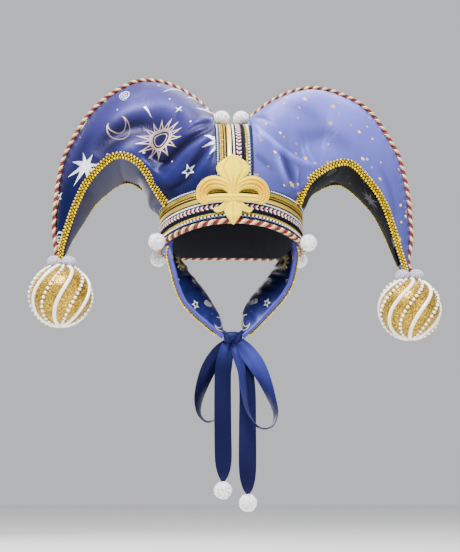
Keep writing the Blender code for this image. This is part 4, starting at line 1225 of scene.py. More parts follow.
@dataclass
class Studio:
    """The camera, the pale backdrop and the soft lights."""

    distance: float = 1.400
    height: float = -0.431
    turn: float = -2.5
    pitch: float = 10.125
    lens: float = 74.2
    shift: float = -0.0018
    floor: float = -0.600
    floor_radius: float = 6.4
    aim: float = -0.12
    lamps: Sequence[tuple] = (
        ("key", (-0.45, -1.15, 1.65), 0.8, 190.0),
        ("fill", (1.3, -1.6, 0.1), 1.4, 20.0),
        ("top", (0.3, 0.5, 1.5), 1.2, 30.0),
        ("back", (-0.9, 1.6, 0.6), 1.2, 24.0),
    )

    def camera(self) -> None:
        """Sets the camera where the photograph was taken from."""
        turn = radians(self.turn)
        place = (sin(turn) * self.distance, -cos(turn) * self.distance, self.height)
        bpy.ops.object.camera_add(location=place, rotation=(radians(90 + self.pitch), 0.0, turn))
        camera = bpy.context.object
        camera.data.lens = self.lens
        camera.data.shift_x = self.shift
        camera.data.clip_start = 0.01
        bpy.context.scene.camera = camera

    def backdrop(self) -> None:
        """Lays a pale floor, wide enough for a view from any side."""
        bpy.ops.mesh.primitive_circle_add(vertices=64, radius=self.floor_radius, fill_type="NGON",
                                          location=(0.0, 0.0, self.floor))
        floor = bpy.context.object
        floor.name = "floor"
        floor.data.materials.append(Surface("pale_floor", Base_Color=(0.80, 0.80, 0.79), Roughness=0.8).made)

    def lights(self) -> None:
        """Hangs the soft lights and sets the pale surroundings."""
        for name, place, size, power in self.lamps:
            bpy.ops.object.light_add(type="AREA", location=place)
            light = bpy.context.object
            light.name = name
            light.data.energy, light.data.size = power, size
            x, y, z = np.array((0.0, 0.0, self.aim)) - place
            light.rotation_euler = (np.arctan2(np.hypot(x, y), -z), 0.0, np.arctan2(-x, y))
        world = bpy.data.worlds.new("pale_room")
        world.use_nodes = True
        surroundings = world.node_tree.nodes["Background"]
        surroundings.inputs["Color"].default_value = (0.86, 0.87, 0.90, 1.0)
        surroundings.inputs["Strength"].default_value = 0.74
        bpy.context.scene.world = world

    def build(self) -> None:
        """Sets up the whole studio."""
        self.camera()
        self.backdrop()
        self.lights()


@dataclass
class Horn:
    """One stuffed horn with its half of the crown, its gusset, its seam cord and its two gold braids."""

    name: str
    side: int
    head_rows: Sequence[HeadRow]
    horn_rows: Sequence[HornRow]
    neck: Sequence[NeckRow]
    folds: Sequence[Fold]
    cloth: Finish
    gusset_cloth: Finish
    side_steps: int = 92
    floor_steps: int = 12
    row_steps: int = 9
    ridge_over_head: float = 2.0
    fold_start: float = 0.0235
    fold_fade: float = 0.006
    bank_offset: float = 1.8
    bank_width: float = 1.3
    bank_fade: float = 3.0
    settle: float = 9.0
    fill: float = 20.0
    edge_columns: int = 4
    crest_columns: int = 12
    # How strongly the folds are painted into the cloth's colour, and the limits of it: painted shade in a
    # hollow, painted light on a ridge.
    painted_light: float = 190.0
    painted_light_range: tuple[float, float] = (0.16, 2.1)
    gather_depth: float = 0.0007
    gather_reach: float = 0.010
    gather_rate: float = 640.0
    back_shift: tuple[float, float] = (0.548, 0.046)
    neck_turn: float = 2.45
    cord_radius: float = 0.0026
    braid_lift: float = BRAID_THICKNESS / 2 + 0.0008
    braid_turn: float = 3.0
    braid_drop: float = 0.0035
    rear_peep: float = 0.0016
    gusset_turn: float = 0.8
    crests: Array = field(init=False)

    def __post_init__(self) -> None:
        """Works out the crest that lies under the seam cord."""
        seam = np.array([(row.seam_out, row.seam_z) for row in (*self.head_rows, *self.horn_rows)])
        along = unit(np.gradient(seam, axis=0))
        self.crests = seam + np.column_stack([along[:, 1], -along[:, 0]]) * (CORD_RADIUS + GAP)

    def panels(self, front: Array, back: Array, crest: Array, half_width: float, ridge: float) -> Array:
        """The lines of a section up its front panel and down its back panel.

        Args:
            front: Where the front panel starts on the gusset or headband, as out and z.
            back: Where the back panel ends.
            crest: Where they meet, under the seam cord.
            half_width: How far from the middle plane they start.
            ridge: The power of their curve, 2 for an ellipse.

        Returns:
            Points from the front edge to the back edge.
        """
        turn = pi / 2 * np.linspace(0.0, 1.0, self.side_steps + 1)
        y = half_width * np.maximum(np.cos(turn), 0.0) ** (2 / ridge)
        lines = []
        for edge, sign in ((front, -1), (back, 1)):
            middle = edge + (crest - edge) * (np.sin(turn) ** (2 / ridge))[:, None]
            lines.append(np.column_stack([middle[:, 0], sign * y, middle[:, 1]]))
        return np.concatenate([lines[0], lines[1][-2::-1]])

    def head_ring(self, row: HeadRow, crest: Array, last: bool) -> Array:
        """The section over the head at one row, whose floor follows the lining.

        Args:
            row: The row.
            crest: The crest above it.
            last: Whether the floor lies flat round the head's side.

        Returns:
            The ring: front panel, back panel and floor.
        """
        angle = radians(row.edge_angle)
        out, y = oval(angle, CROWN_GROW)
        front = np.array([out, band_top_z(angle) + GAP])
        back = np.array([out, band_top_z(pi - angle) + GAP])
        share = np.arange(1, self.floor_steps) / self.floor_steps
        if last:
            turn = pi - angle + (2 * angle - pi) * share
            floor = np.column_stack([*oval(turn, CROWN_GROW), band_top_z(turn) + GAP])
        else:
            grow = LINING_THICKNESS + 2 * GAP
            cut = np.sqrt(1 - (out / (HEAD_HALF_WIDTH + grow)) ** 2)
            turn = pi * share
            floor = np.column_stack([np.full_like(share, out), (HEAD_HALF_DEPTH + grow) * cut * np.cos(turn),
                                     DOME_FOOT + (grow - DOME_FOOT) * cut * np.sin(turn)])
        return np.concatenate([self.panels(front, back, crest, -y, self.ridge_over_head), floor])

    def section(self, i: int) -> tuple[Array, Array, Array]:
        """Where the cloth's edge lies at a row of the horn.

        Args:
            i: The row.

        Returns:
            The edge, the way out of the gusset, and the way from crest to edge.
        """
        row = self.horn_rows[i]
        trim, seam = np.array([row.trim_out, row.trim_z]), np.array([row.seam_out, row.seam_z])
        away = unit(trim - seam)
        before, after = self.horn_rows[max(i - 1, 0)], self.horn_rows[min(i + 1, len(self.horn_rows) - 1)]
        outward = unit(np.array([after.trim_z - before.trim_z, before.trim_out - after.trim_out]))
        edge = trim + away * BRAID_WIDTH * min(BRAID_OVERLAP, row.half_width / FULL_BRAID_HALF_WIDTH)
        return edge, outward, away

    def gusset_line(self, i: int, lift: float) -> Array:
        """A line across the gusset from back to front.

        Args:
            i: The horn's row.
            lift: How far the line is lifted off the horn.

        Returns:
            Its points.
        """
        row = self.horn_rows[i]
        edge, outward, away = self.section(i)
        share = (np.arange(self.floor_steps + 1) / self.floor_steps)[:, None]
        bow = row.belly * 4 * share * (1 - share) + lift
        place = edge + away * row.twist * (1 - share) + outward * bow
        return np.column_stack([place[:, 0], row.half_width * (1 - 2 * share[:, 0]), place[:, 1]])

    def horn_ring(self, i: int) -> Array:
        """The section of the horn at one of its rows.

        Args:
            i: The row.

        Returns:
            The ring: front panel, back panel and floor.
        """
        row, crest = self.horn_rows[i], self.crests[len(self.head_rows) + i]
        edge, _, away = self.section(i)
        panels = self.panels(edge, edge + away * row.twist, crest, row.half_width, row.ridge)
        return np.concatenate([panels, self.gusset_line(i, 0.0)[1:-1]])

    def neck_ring(self, row: NeckRow) -> Array:
        """A small round section, in step with the horn's other sections.

        Args:
            row: The section's row.

        Returns:
            The ring.
        """
        sides = np.linspace(-1.0, 1.0, 2 * self.side_steps + 1) * self.neck_turn
        share = np.arange(1, self.floor_steps) / self.floor_steps
        turns = np.concatenate([sides, self.neck_turn + (tau - 2 * self.neck_turn) * share])
        x = row.out + row.radius * np.cos(turns)
        return np.column_stack([x, row.radius * np.sin(turns), np.full_like(x, row.z)])

    def rings(self) -> Array:
        """Lays all sections of the horn close together.

        Returns:
            The rings, from the middle of the hat to the horn's tip.
        """
        last = self.head_rows[-1]
        heads = [self.head_ring(row, crest, row is last) for row, crest in zip(self.head_rows, self.crests)]
        horns = [self.horn_ring(i) for i in range(len(self.horn_rows))]
        necks = [self.neck_ring(row) for row in self.neck]
        rings = smooth([*heads, *horns, *necks], self.row_steps)
        middle = [self.head_ring(HeadRow(angle, 0.0, 0.0), np.array([out, UNDER_BAND_CREST]), False)
                  for angle, out in ((0.1, GAP / 2), (15.0, 0.0227))]
        return np.concatenate([middle, self.settled(rings)])

    def settled(self, rings: Array) -> Array:
        """Eases the sections along the horn and fills its hollows, so that the cloth runs on smoothly.

        Args:
            rings: The sections.

        Returns:
            The eased sections; the seams and the floor stay where they are.
        """
        calm, filled = eased(rings, self.settle), eased(rings, self.fill)
        fuller = np.abs(filled[..., 1]) > np.abs(calm[..., 1])
        calm[..., 1] = np.where(fuller, filled[..., 1], calm[..., 1])
        panel = 2 * self.side_steps + 1
        columns = np.arange(panel)
        share = np.zeros(rings.shape[1])
        share[:panel] = np.clip(np.minimum(columns, panel - 1 - columns) / self.edge_columns, 0.0, 1.0)
        share[:panel] *= np.clip(np.abs(columns - self.side_steps) / self.crest_columns, 0.0, 1.0)
        return rings + (calm - rings) * share[None, :, None]

    def flat(self, rings: Array) -> Array:
        """Where each point lies on the flat cloth.

        Args:
            rings: The horn's sections, not yet folded.

        Returns:
            A place in metres for each point.
        """
        steps = np.linalg.norm(np.diff(rings, axis=1, append=rings[:, :1]), axis=2)
        reach = np.cumsum(steps, axis=1) - steps
        crest = self.side_steps
        run = reach - reach[:, crest : crest + 1]
        half = reach[:, crest] / 2
        way = unit(rings[:, 0][:, [0, 2]] - rings[:, crest][:, [0, 2]])
        middle = (rings[:, 0] + rings[:, crest])[:, [0, 2]] / 2
        place = middle[:, None] + way[:, None] * (np.abs(run) - half[:, None])[..., None]
        place[:, crest + 1 :] += self.back_shift
        place[..., 0] *= self.side
        return place

    def pressed(self, crease: Fold, out: Array, z: Array) -> Array:
        """Presses one crease into the panels.

        Args:
            crease: The crease.
            out: How far out the points are.
            z: Their heights.

        Returns:
            How deep each point is pressed.
        """
        line = smooth(crease.line, 8)
        gaps = np.stack([out, z], axis=-1)[..., None, :] - line
        apart = np.linalg.norm(gaps, axis=-1)
        nearest, away = apart.argmin(axis=-1), apart.min(axis=-1)
        along = unit(np.gradient(line, axis=0))[nearest]
        gap = np.take_along_axis(gaps, nearest[..., None, None], axis=-2)[..., 0, :]
        side = gap[..., 0] * along[..., 1] - gap[..., 1] * along[..., 0]
        taper = np.sin(pi * np.clip(nearest / (len(line) - 1), 0.0, 1.0) * 0.86 + 0.36) ** 0.7
        profile = np.exp(-((away / crease.reach) ** 2))
        beside = np.exp(-(((side - self.bank_offset * crease.reach) / crease.reach / self.bank_width) ** 2))
        bank = beside * np.exp(-((away / crease.reach / self.bank_fade) ** 2))
        return crease.depth * taper * (profile + crease.bank * bank)

    def fold(self, rings: Array) -> tuple[Array, Array]:
        """Presses the folds and the gathers along the seams into the panels, and paints their light and
        shade.

        Args:
            rings: The horn's sections.

        Returns:
            The folded sections, and the painted light and shade at each point: painted shade in a hollow,
            painted light on a ridge.
        """
        out, y, z = rings[..., 0], rings[..., 1], rings[..., 2]
        depth = sum(self.pressed(crease, out, z) for crease in self.folds)
        depth *= np.clip((out - self.fold_start) / self.fold_fade, 0.0, 1.0)
        crest, panel = self.side_steps, 2 * self.side_steps + 1
        turn = pi / 2 * (1 - np.abs(np.arange(panel) / crest - 1))
        aside = np.abs(y[:, :panel])
        ease = np.minimum(1.0, aside / np.maximum(aside[:, :1], 1e-6) * 1.5)
        depth[:, :panel] *= ease * np.clip(turn / 0.10, 0.0, 1.0)
        run = run_along(rings[:, crest])
        far = np.linalg.norm(rings[:, :panel] - rings[:, crest : crest + 1], axis=2)
        wave = np.sin(run * self.gather_rate + 2.2 * np.sin(run * 150))[:, None]
        gather = wave * np.exp(-far / self.gather_reach) * self.gather_depth
        depth[:, :panel] += gather * np.sin(turn) ** 0.5 * np.clip(aside / 0.004, 0, 1)
        # Painted shade in the hollows and painted light on the ridges, as a factor on the cloth's colour.
        painted_light = np.clip(np.exp(-depth * self.painted_light), *self.painted_light_range)
        depth[:, panel:] = 0.0
        moved = rings.copy()
        moved[..., 1] = np.sign(y) * np.maximum(np.abs(y) - depth, 0.0)
        return moved, painted_light

    def clear_lining(self, points: Array) -> Array:
        """Moves what would lie inside the lining out on to it.

        Args:
            points: The horn's points.

        Returns:
            The points, clear of the lining.
        """
        grow, foot = LINING_THICKNESS + GAP, np.array([0.0, 0.0, DOME_FOOT])
        size = np.array([HEAD_HALF_WIDTH + grow, HEAD_HALF_DEPTH + grow, grow - DOME_FOOT])
        local = points - foot
        inside = np.linalg.norm(np.maximum(local, (-np.inf, -np.inf, 0.0)) / size, axis=1)
        push = np.where(inside < 1.0, 1.0 / np.maximum(inside, 0.3), 1.0)[:, None]
        pushed = (local[:, 2:] > 0.0) | (np.arange(3) < 2)
        return np.where(pushed, local * push, local) + foot

    def body(self) -> None:
        """The stuffed horn."""
        rings = self.rings()
        shape, painted_light = self.fold(rings)
        points = self.clear_lining(shape.reshape(-1, 3)) * (self.side, 1, 1)
        pile = Pile()
        # The colour attribute carries the folds' painted light and shade.
        pile.wrap(points.reshape(shape.shape), painted_light.reshape(-1, 1), self.flat(rings), turned=self.side > 0)
        piece = dress(pile.build(f"horn_{self.name}_cloth"), self.cloth, f"horn_{self.name}")

    def gusset(self) -> None:
        """The strip of cloth under the horn."""
        start = radians(self.head_rows[-1].edge_angle + self.gusset_turn)
        turns = np.linspace(pi - start, start, self.floor_steps + 1)
        layers = []
        for lift in (GAP, GAP + CLOTH):
            foot = np.column_stack([*oval(turns, CROWN_GROW + lift), band_top_z(turns) + GAP])
            lines = [self.gusset_line(i, lift) for i in range(len(self.horn_rows))]
            layers.append(smooth([foot, *lines], self.row_steps))
        near, far = layers
        rings = np.concatenate([near, far[:, ::-1]], axis=1) * (self.side, 1, 1)
        run = run_along(near[:, self.floor_steps // 2])
        pile = Pile()
        pile.wrap(rings, place=paired(rings[..., 1], run[:, None]), turned=self.side > 0)
        piece = dress(pile.build(f"gusset_{self.name}_cloth"), self.gusset_cloth, f"gusset_{self.name}")

    def seam_cord(self) -> None:
        """The red and cream cord along the crest."""
        tip = self.neck[1]
        line = [(row.seam_out, 0.0, row.seam_z) for row in (*self.head_rows, *self.horn_rows)]
        line.append((tip.out + tip.radius + CORD_RADIUS, 0.0, tip.z + 0.001))
        path = Path(smooth(line, 6) * (self.side, 1, 1), FORWARD)
        path = path.shifted(self.side * (CORD_RADIUS - self.cord_radius + 2 * GAP), 0.0)
        pile = Pile()
        twist(pile, path, self.cord_radius, ROPE_PITCH * 0.92, ROPE_STRANDS, step=0.0010, lay=self.side)
        dress(pile.build(f"seam_cord_{self.name}_twist"), TWISTED_CORD, f"seam_cord_{self.name}")

    def braid(self, end: str, sign: int) -> None:
        """The gold braid along one edge of the gusset.

        Args:
            end: front or rear.
            sign: -1 for the front, 1 for the rear.
        """
        base = oval(radians(self.head_rows[-1].edge_angle - self.braid_turn), HEADBAND_GROW)
        foot = BAND_TOP_FRONT - BAND_TOP_SIDE_DIP - self.braid_drop
        lines = [(base[0] + 0.001, sign * (abs(base[1]) + self.braid_lift), foot)]
        for i, row in enumerate(self.horn_rows):
            edge, _, away = self.section(i)
            shift = row.twist + self.rear_peep if sign > 0 else 0.0
            out, z = edge + away * (shift - BRAID_WIDTH * BRAID_OVERLAP)
            lines.append((out, sign * (row.half_width + self.braid_lift), z))
        tip = self.neck[0]
        lines.append((tip.out - tip.radius * 0.3, sign * (tip.radius + self.braid_lift), tip.z - 0.0015))
        path = Path(eased(smooth(lines, 6), 3.5) * (self.side, 1, 1), (0.0, sign, 0.0))
        path.out = unit(np.cross(path.across(), path.along()))
        share = np.linspace(0, 1, len(path.points))
        width = np.interp(share, [0.7, 1], [BRAID_WIDTH + 0.0012, 0.0066])
        # The tape behind this braid is near black: painted shade between its loops.
        pile = gimp(path.shifted(0.0, -0.0004), width, BRAID_SHADE)
        dress(pile.build(f"horn_braid_{self.name}_{end}_gimp"), GOLD_BRAID, f"horn_braid_{self.name}_{end}")

    def build(self) -> None:
        """Builds and dresses all that belongs to the horn."""
        self.body()
        self.gusset()
        self.seam_cord()
        self.braid("front", -1)
        self.braid("rear", 1)


NAVY, BLACK, STEEL = (0.003, 0.005, 0.022), (0.0015, 0.0015, 0.0025), (0.06, 0.09, 0.17)
PINK, WHITE, PALE_GOLD = (0.34, 0.08, 0.13), (0.85, 0.84, 0.82), (0.72, 0.51, 0.085)
TRIM_YARN = Yarn("trim_yarn", "metallic_trim", 0.6, soft=0.0, gloss=0.12)
TRIM_METAL = MetalThread("trim_metal", "metallic_trim", 0.40)
WHITE_POMPOM = Yarn("white_pompom", "white_pompom", 0.85, soft=1.0, glow=0.7, fibre=500.0, contrast=0.05)
DUSK_POMPOM = Yarn("dusk_pompom", "dusk_pompom", 0.85, soft=0.6, glow=0.3, fibre=500.0, contrast=0.15)


class Row(Enum):
    """The kinds of trim sewn side by side on a band."""

    EDGE = "tight navy cord"
    BEADS = "white and steel-blue picots"
    TWIST = "twisted metallic cord"
    FLAT = "flat ribbed metallic ribbon"
    YARN = "twisted yarn"
    PLAIT = "plait of pink, white and black"


class TrimRow(NamedTuple):
    """A row of trim between two shares of a band's width."""

    kind: Row
    start: float
    end: float
    colour: Colour
    second: Colour


TRIM_ROWS = tuple(TrimRow(*row) for row in (
    (Row.EDGE, 0.000, 0.036, NAVY, NAVY),
    (Row.BEADS, 0.036, 0.104, STEEL, WHITE),
    (Row.TWIST, 0.104, 0.156, GOLD, PALE_GOLD),
    (Row.TWIST, 0.156, 0.208, GOLD, PALE_GOLD),
    (Row.YARN, 0.208, 0.234, BLACK, NAVY),
    (Row.TWIST, 0.234, 0.272, PALE_GOLD, GOLD),
    (Row.YARN, 0.272, 0.314, BLACK, NAVY),
    (Row.FLAT, 0.314, 0.426, PALE_GOLD, GOLD),
    (Row.YARN, 0.426, 0.466, BLACK, NAVY),
    (Row.YARN, 0.466, 0.520, WHITE, WHITE),
    (Row.YARN, 0.520, 0.555, BLACK, NAVY),
    (Row.PLAIT, 0.555, 0.695, PINK, WHITE),
    (Row.YARN, 0.695, 0.750, BLACK, NAVY),
    (Row.YARN, 0.750, 0.804, BLACK, NAVY),
    (Row.TWIST, 0.804, 0.870, PALE_GOLD, GOLD),
    (Row.BEADS, 0.870, 0.964, STEEL, WHITE),
    (Row.EDGE, 0.964, 1.000, NAVY, NAVY),
))


@dataclass
class TrimmedBand:
    """A stiff band covered in rows of braid, cord and picots sewn side by side.

    track gives the points of the band's face along it at a share of its width, and the way out of them.
    """

    name: str
    track: Callable[[float], Path]
    width: float
    thickness: float
    base_depth: float = 0.0012

    def base(self) -> None:
        """The navy tape under the rows."""
        across = np.linspace(0.0, 1.0, 10)
        outer = [self.track(share).shifted(0.0, -self.base_depth) for share in across]
        inner = [self.track(share).shifted(0.0, -self.thickness) for share in across[::-1]]
        rings = np.stack([path.points for path in (*outer, *inner)], axis=1)
        pile = Pile()
        pile.wrap(rings, BLACK, closed=outer[0].closed)
        dress(pile.build(f"{self.name}_tape"), TRIM_YARN, self.name)

    def row(self, yarn: Pile, metal: Pile, row: TrimRow, bead: Form) -> None:
        """Lays one row of trim.

        Args:
            yarn: The pile for yarn.
            metal: The pile for metallic thread.
            row: The row.
            bead: A small ball's points and faces.
        """
        width = (row.end - row.start) * self.width
        path = self.track((row.start + row.end) / 2)
        strands = (row.colour, row.second)
        if row.kind is Row.YARN:
            twist(yarn, path.shifted(0.0, -width * 0.35), width / 2, width * 2.1, strands, 5, 0.0013)
        elif row.kind is Row.EDGE:
            line = path.even(0.0010)
            rib = width / 2 * (1.0 - 0.14 * (np.arange(len(line.points)) % 2))
            tube(yarn, line.shifted(0.0, -width * 0.35), rib, 6, row.colour)
        elif row.kind is Row.TWIST:
            twist(metal, path.shifted(0.0, -width * 0.30), width / 2, width * 1.9, strands, 5, 0.0010)
        elif row.kind is Row.BEADS:
            tube(yarn, path.even(0.0030).shifted(0.0, -width * 0.5), width * 0.42, 8, NAVY)
            line = path.even(width * 0.62).shifted(0.0, -width * 0.10)
            picked = np.arange(len(line.points)) % 2 == 0
            line = line.shifted(np.where(picked, 1, -1) * width * 0.20, 0.0)
            colours = np.where(picked[:, None], row.colour, row.second)
            beads(yarn, bead, line, (0.34 * width,) * 3, colours)
        elif row.kind is Row.FLAT:
            line = path.even(0.0009)
            rib = 0.00022 * (np.arange(len(line.points)) % 2)
            tube(metal, line.shifted(0.0, rib - 0.0006), width / 2, 8, row.colour, squash=0.22)
        elif row.kind is Row.PLAIT:
            self.plait(yarn, path, width, row, bead)

    def plait(self, pile: Pile, path: Path, width: float, row: TrimRow, bead: Form) -> None:
        """Lays a plait: two columns of slanted stitches that meet in a row of points.

        Args:
            pile: What it is added to.
            path: Its middle.
            width: Its width.
            row: The row, for its colours.
            bead: A small ball's points and faces.
        """
        for side in (-1, 1):
            line = path.even(width * 0.36)
            run = unit(line.along() * 0.80 + line.across() * side * 0.62)
            line = line.shifted(side * width * 0.24, -width * 0.02)
            colours = np.array([row.colour, row.second, BLACK])[np.arange(len(run)) % 3]
            beads(pile, bead, line, np.array((0.40, 0.155, 0.16)) * width, colours, run)

    def build(self) -> None:
        """Builds the tape and every row on it."""
        self.base()
        bead = ball_form(7, 5)
        yarn, metal = Pile(), Pile()
        for row in TRIM_ROWS:
            self.row(yarn, metal, row, bead)
        dress(yarn.build(f"{self.name}_yarn"), TRIM_YARN, self.name)
        dress(metal.build(f"{self.name}_metal"), TRIM_METAL, self.name)


def headband_track(share: float) -> Path:
    """The track of the headband's face.

    Args:
        share: How far down it is, as a share of the band's width.

    Returns:
        A closed line round the band.
    """
    turn = np.arange(360) / 360 * tau
    low, high = rim_z(turn) + CORD_RADIUS + GAP, band_top_z(turn)
    x, y = oval(turn, HEADBAND_GROW)
    out = unit(np.column_stack([x / (HEAD_HALF_WIDTH**2), y / (HEAD_HALF_DEPTH**2), np.zeros_like(x)]))
    return Path(np.column_stack([x, y, high + (low - high) * share]), out, True)


def centre_band_track(share: float) -> Path:
    """The track of the centre band's face, from the front over the crown.

    Args:
        share: How far from the band's left edge it is, as a share of its width.

    Returns:
        A line from the headband's front to its back.
    """
    x = (share * 2 - 1) * CENTRE_BAND_HALF_WIDTH
    rise = np.linspace(0.0, pi, 180)
    bow = np.sqrt(1 - (x / (HEAD_HALF_WIDTH + CENTRE_BAND_GROW)) ** 2)
    foot = band_top_z(np.where(rise < pi / 2, 0.0, pi)) + GAP
    dip = (band_top_z(CENTRE_BAND_FOOT_ANGLE) - band_top_z(0.0)) * (x / CENTRE_BAND_HALF_WIDTH) ** 2
    low = foot + dip * np.abs(np.cos(rise))
    y = -(HEAD_HALF_DEPTH + CENTRE_BAND_GROW) * bow * np.cos(rise)
    z = low + (CENTRE_BAND_TOP - low) * np.sin(rise)
    out = np.column_stack([np.full_like(y, x * 2), y, (z - foot) * 0.9])
    return Path(np.column_stack([np.full_like(y, x), y, z]), unit(out))


@dataclass
class RimCord:
    """The red and cream cord round the rim."""

    def build(self) -> None:
        """Builds and dresses the cord."""
        turn = np.arange(360) / 360 * tau
        x, y = oval(turn, HEADBAND_GROW)
        path = Path(np.column_stack([x, y, rim_z(turn)]), (0.0, 0.0, -1.0), True)
        pile = Pile()
        twist(pile, path, CORD_RADIUS, ROPE_PITCH, ROPE_STRANDS, step=0.0009)
        dress(pile.build("rim_cord_twist"), TWISTED_CORD, "rim_cord")


@dataclass
class Lining:
    """The dark lining: a dome of cloth in six gores, open at the rim."""

    segments: int = 96
    rings: int = 40
    gores: int = 6
    seam_depth: float = 0.0006

    def build(self) -> None:
        """Builds and dresses the lining."""
        bpy.ops.mesh.primitive_uv_sphere_add(segments=self.segments, ring_count=self.rings, radius=1.0)
        dome = bpy.context.object
        bpy.ops.object.mode_set(mode="EDIT")
        bpy.ops.mesh.select_all(action="SELECT")
        bpy.ops.mesh.bisect(plane_co=(0, 0, 0), plane_no=(0, 0, 1), clear_inner=True)
        bpy.ops.mesh.extrude_edges_move(TRANSFORM_OT_translate={"value": (0, 0, -1)})
        bpy.ops.mesh.select_all(action="SELECT")
        bpy.ops.mesh.normals_make_consistent(inside=False)
        bpy.ops.object.mode_set(mode="OBJECT")
        for vertex in dome.data.vertices:
            x, y, z = vertex.co
            turn = np.arctan2(x, -y)
            seam = self.seam_depth * abs(cos(turn * self.gores / 2)) ** 8
            if z < -0.5:
                vertex.co = (*oval(turn, 0.0), rim_z(turn) - LINING_HEM)
            else:
                place = np.array(oval(turn, -seam)) * np.hypot(x, y)
                vertex.co = (*place, DOME_FOOT - DOME_FOOT * z)
        wall = dome.modifiers.new("wall", "SOLIDIFY")
        wall.thickness, wall.offset = LINING_THICKNESS, 1.0
        bpy.ops.object.modifier_apply(modifier=wall.name)
        bpy.ops.object.shade_smooth_by_angle(angle=radians(50))
        dome.name = "crown_lining_cloth"
        dome.data.uv_layers.active.name = "cloth"
        dress(dome, BLACK_LINING, "crown_lining")


FIBRE_FACES = (
    ((0, 1, 4, 3), (1, 2, 5, 4), (2, 0, 3, 5)),
    ((0, 2, 1), (3, 4, 6), (4, 5, 6), (5, 3, 6)),
)


@dataclass
class Pompom:
    """A ball of cut yarn: a soft core with tapered fibres all over it."""

    name: str
    node: str
    centre: Sequence[float]
    size: Sequence[float]
    finish: Finish
    colour: Colour
    seed: int
    fibres: int = 1100
    lumps: int = 26
    lump_focus: float = 22.0
    core: tuple[float, float] = (0.86, 0.07)
    reach: float = 0.98
    ragged: float = 0.05
    swelling: float = 0.03
    lean: float = 0.10
    rings: Sequence[tuple[float, float]] = ((0.80, 0.045), (0.93, 0.036))

    def build(self) -> None:
        """Builds and dresses the pompom."""
        rng = np.random.default_rng(self.seed)
        bpy.ops.mesh.primitive_ico_sphere_add(subdivisions=3, radius=1.0)
        points, faces = taken()
        lumps = unit(rng.normal(size=(self.lumps, 3)))
        core = points * (self.core[0] + self.core[1] * self.swell(points, lumps))
        pile = Pile()
        pile.add(self.centre + core * self.size, faces, self.colour)
        many = (self.fibres, 1)
        way = unit(rng.normal(size=(self.fibres, 3)))
        side = unit(np.cross(way, rng.normal(size=(self.fibres, 3))))
        other = np.cross(way, side)
        lean = side * rng.normal(0, self.lean, many) + other * rng.normal(0, self.lean, many)
        ragged = rng.uniform(-self.ragged, self.ragged, many)
        reach = self.reach + ragged + self.swelling * self.swell(way, lumps)
        corners = []
        for level, (height, thick) in enumerate(self.rings):
            middle = way * height * (1 + (reach - self.reach) * level) + lean * 0.5 * level
            corners += [middle + (side * cos(t) + other * sin(t)) * thick for t in (0, tau / 3, 2 * tau / 3)]
        fibre = np.stack([*corners, way * reach + lean], axis=1)
        shade = np.array(self.colour)[None] * rng.uniform(0.86, 1.0, many)
        count = fibre.shape[1]
        pile.add(self.centre + fibre * self.size, repeated(FIBRE_FACES, self.fibres, count),
                 np.repeat(shade, count, axis=0))
        dress(pile.build(self.name), self.finish, self.node)

    def swell(self, ways: Array, lumps: Array) -> Array:
        """How near each way lies to a lump, up to 1."""
        return np.exp((ways @ lumps.T - 1) * self.lump_focus).max(axis=1)[:, None]


@dataclass(frozen=True)
class Glitter(Finish):
    """Coarse gold glitter: small metal flakes, each turned its own way."""

    flakes: float = 950.0

    def paint(self, surface: Surface) -> None:
        """Paints the flakes.

        Args:
            surface: The surface.
        """
        place = surface.place()
        pick = surface.split(surface.node("TexVoronoi", Vector=place, Scale=self.flakes).outputs["Color"])
        grain = surface.noise(place, 480.0, 2.0).math("MULTIPLY_ADD", 2.6, -0.8, clamp=True)
        colour = surface.mix(pick[0], (0.20, 0.105, 0.003), (0.90, 0.60, 0.05))
        colour = surface.mix(grain, (0.13, 0.065, 0.002), colour)
        surface.shade(Base_Color=colour, Metallic=0.7, Roughness=pick[1] * 0.45 + 0.15)
        surface.bump(pick[2] + surface.noise(place, 1500.0) * 0.4, 0.0005, 0.8)


@dataclass(frozen=True)
class Pearl(Finish):
    """Plastic pearls and white piping, each with its own colour."""

    coat: float = 0.5

    def paint(self, surface: Surface) -> None:
        """Paints the pearls and their sheen.

        Args:
            surface: The surface.
        """
        place = surface.place()
        colour = surface.mix(surface.noise(place, 240.0) * 0.4, surface.own(), (0.80, 0.66, 0.52))
        surface.shade(Base_Color=colour, Coat_Weight=self.coat, Coat_Roughness=0.12)
        surface.fuzz(0.3, 0.3, (1.0, 0.86, 0.84))
        surface.bump(surface.noise(place, 1200.0), 0.00008)


@dataclass(frozen=True)
class Stitches(Finish):
    """Raised satin stitch, which runs across each petal and is shaded towards orange."""

    light: Colour = (0.86, 0.64, 0.0)
    dark: Colour = (0.60, 0.24, 0.0)
    shine: Colour = (0.95, 0.76, 0.0)
    pitch: float = 0.00055

    def paint(self, surface: Surface) -> None:
        """Paints the stitches.

        Args:
            surface: The surface.
        """
        place = surface.place()
        _, along, _ = surface.split(surface.flat())
        thread = (along * (tau / self.pitch) + surface.noise(place, 300.0) * 3.0).math("SINE") * 0.5 + 0.5
        streak = surface.noise(place, 420.0, 4.0)
        shade = surface.split(surface.own())[0]
        colour = surface.mix((shade + (streak - 0.5) * 0.35).clamped(), self.light, self.dark)
        surface.shade(Base_Color=surface.mix(streak * 0.2, colour, self.shine), Specular_IOR_Level=0.05,
                      Specular_Tint=(1.0, 0.75, 0.2))
        surface.bump(thread * 0.6 + streak * 0.6, 0.00028)


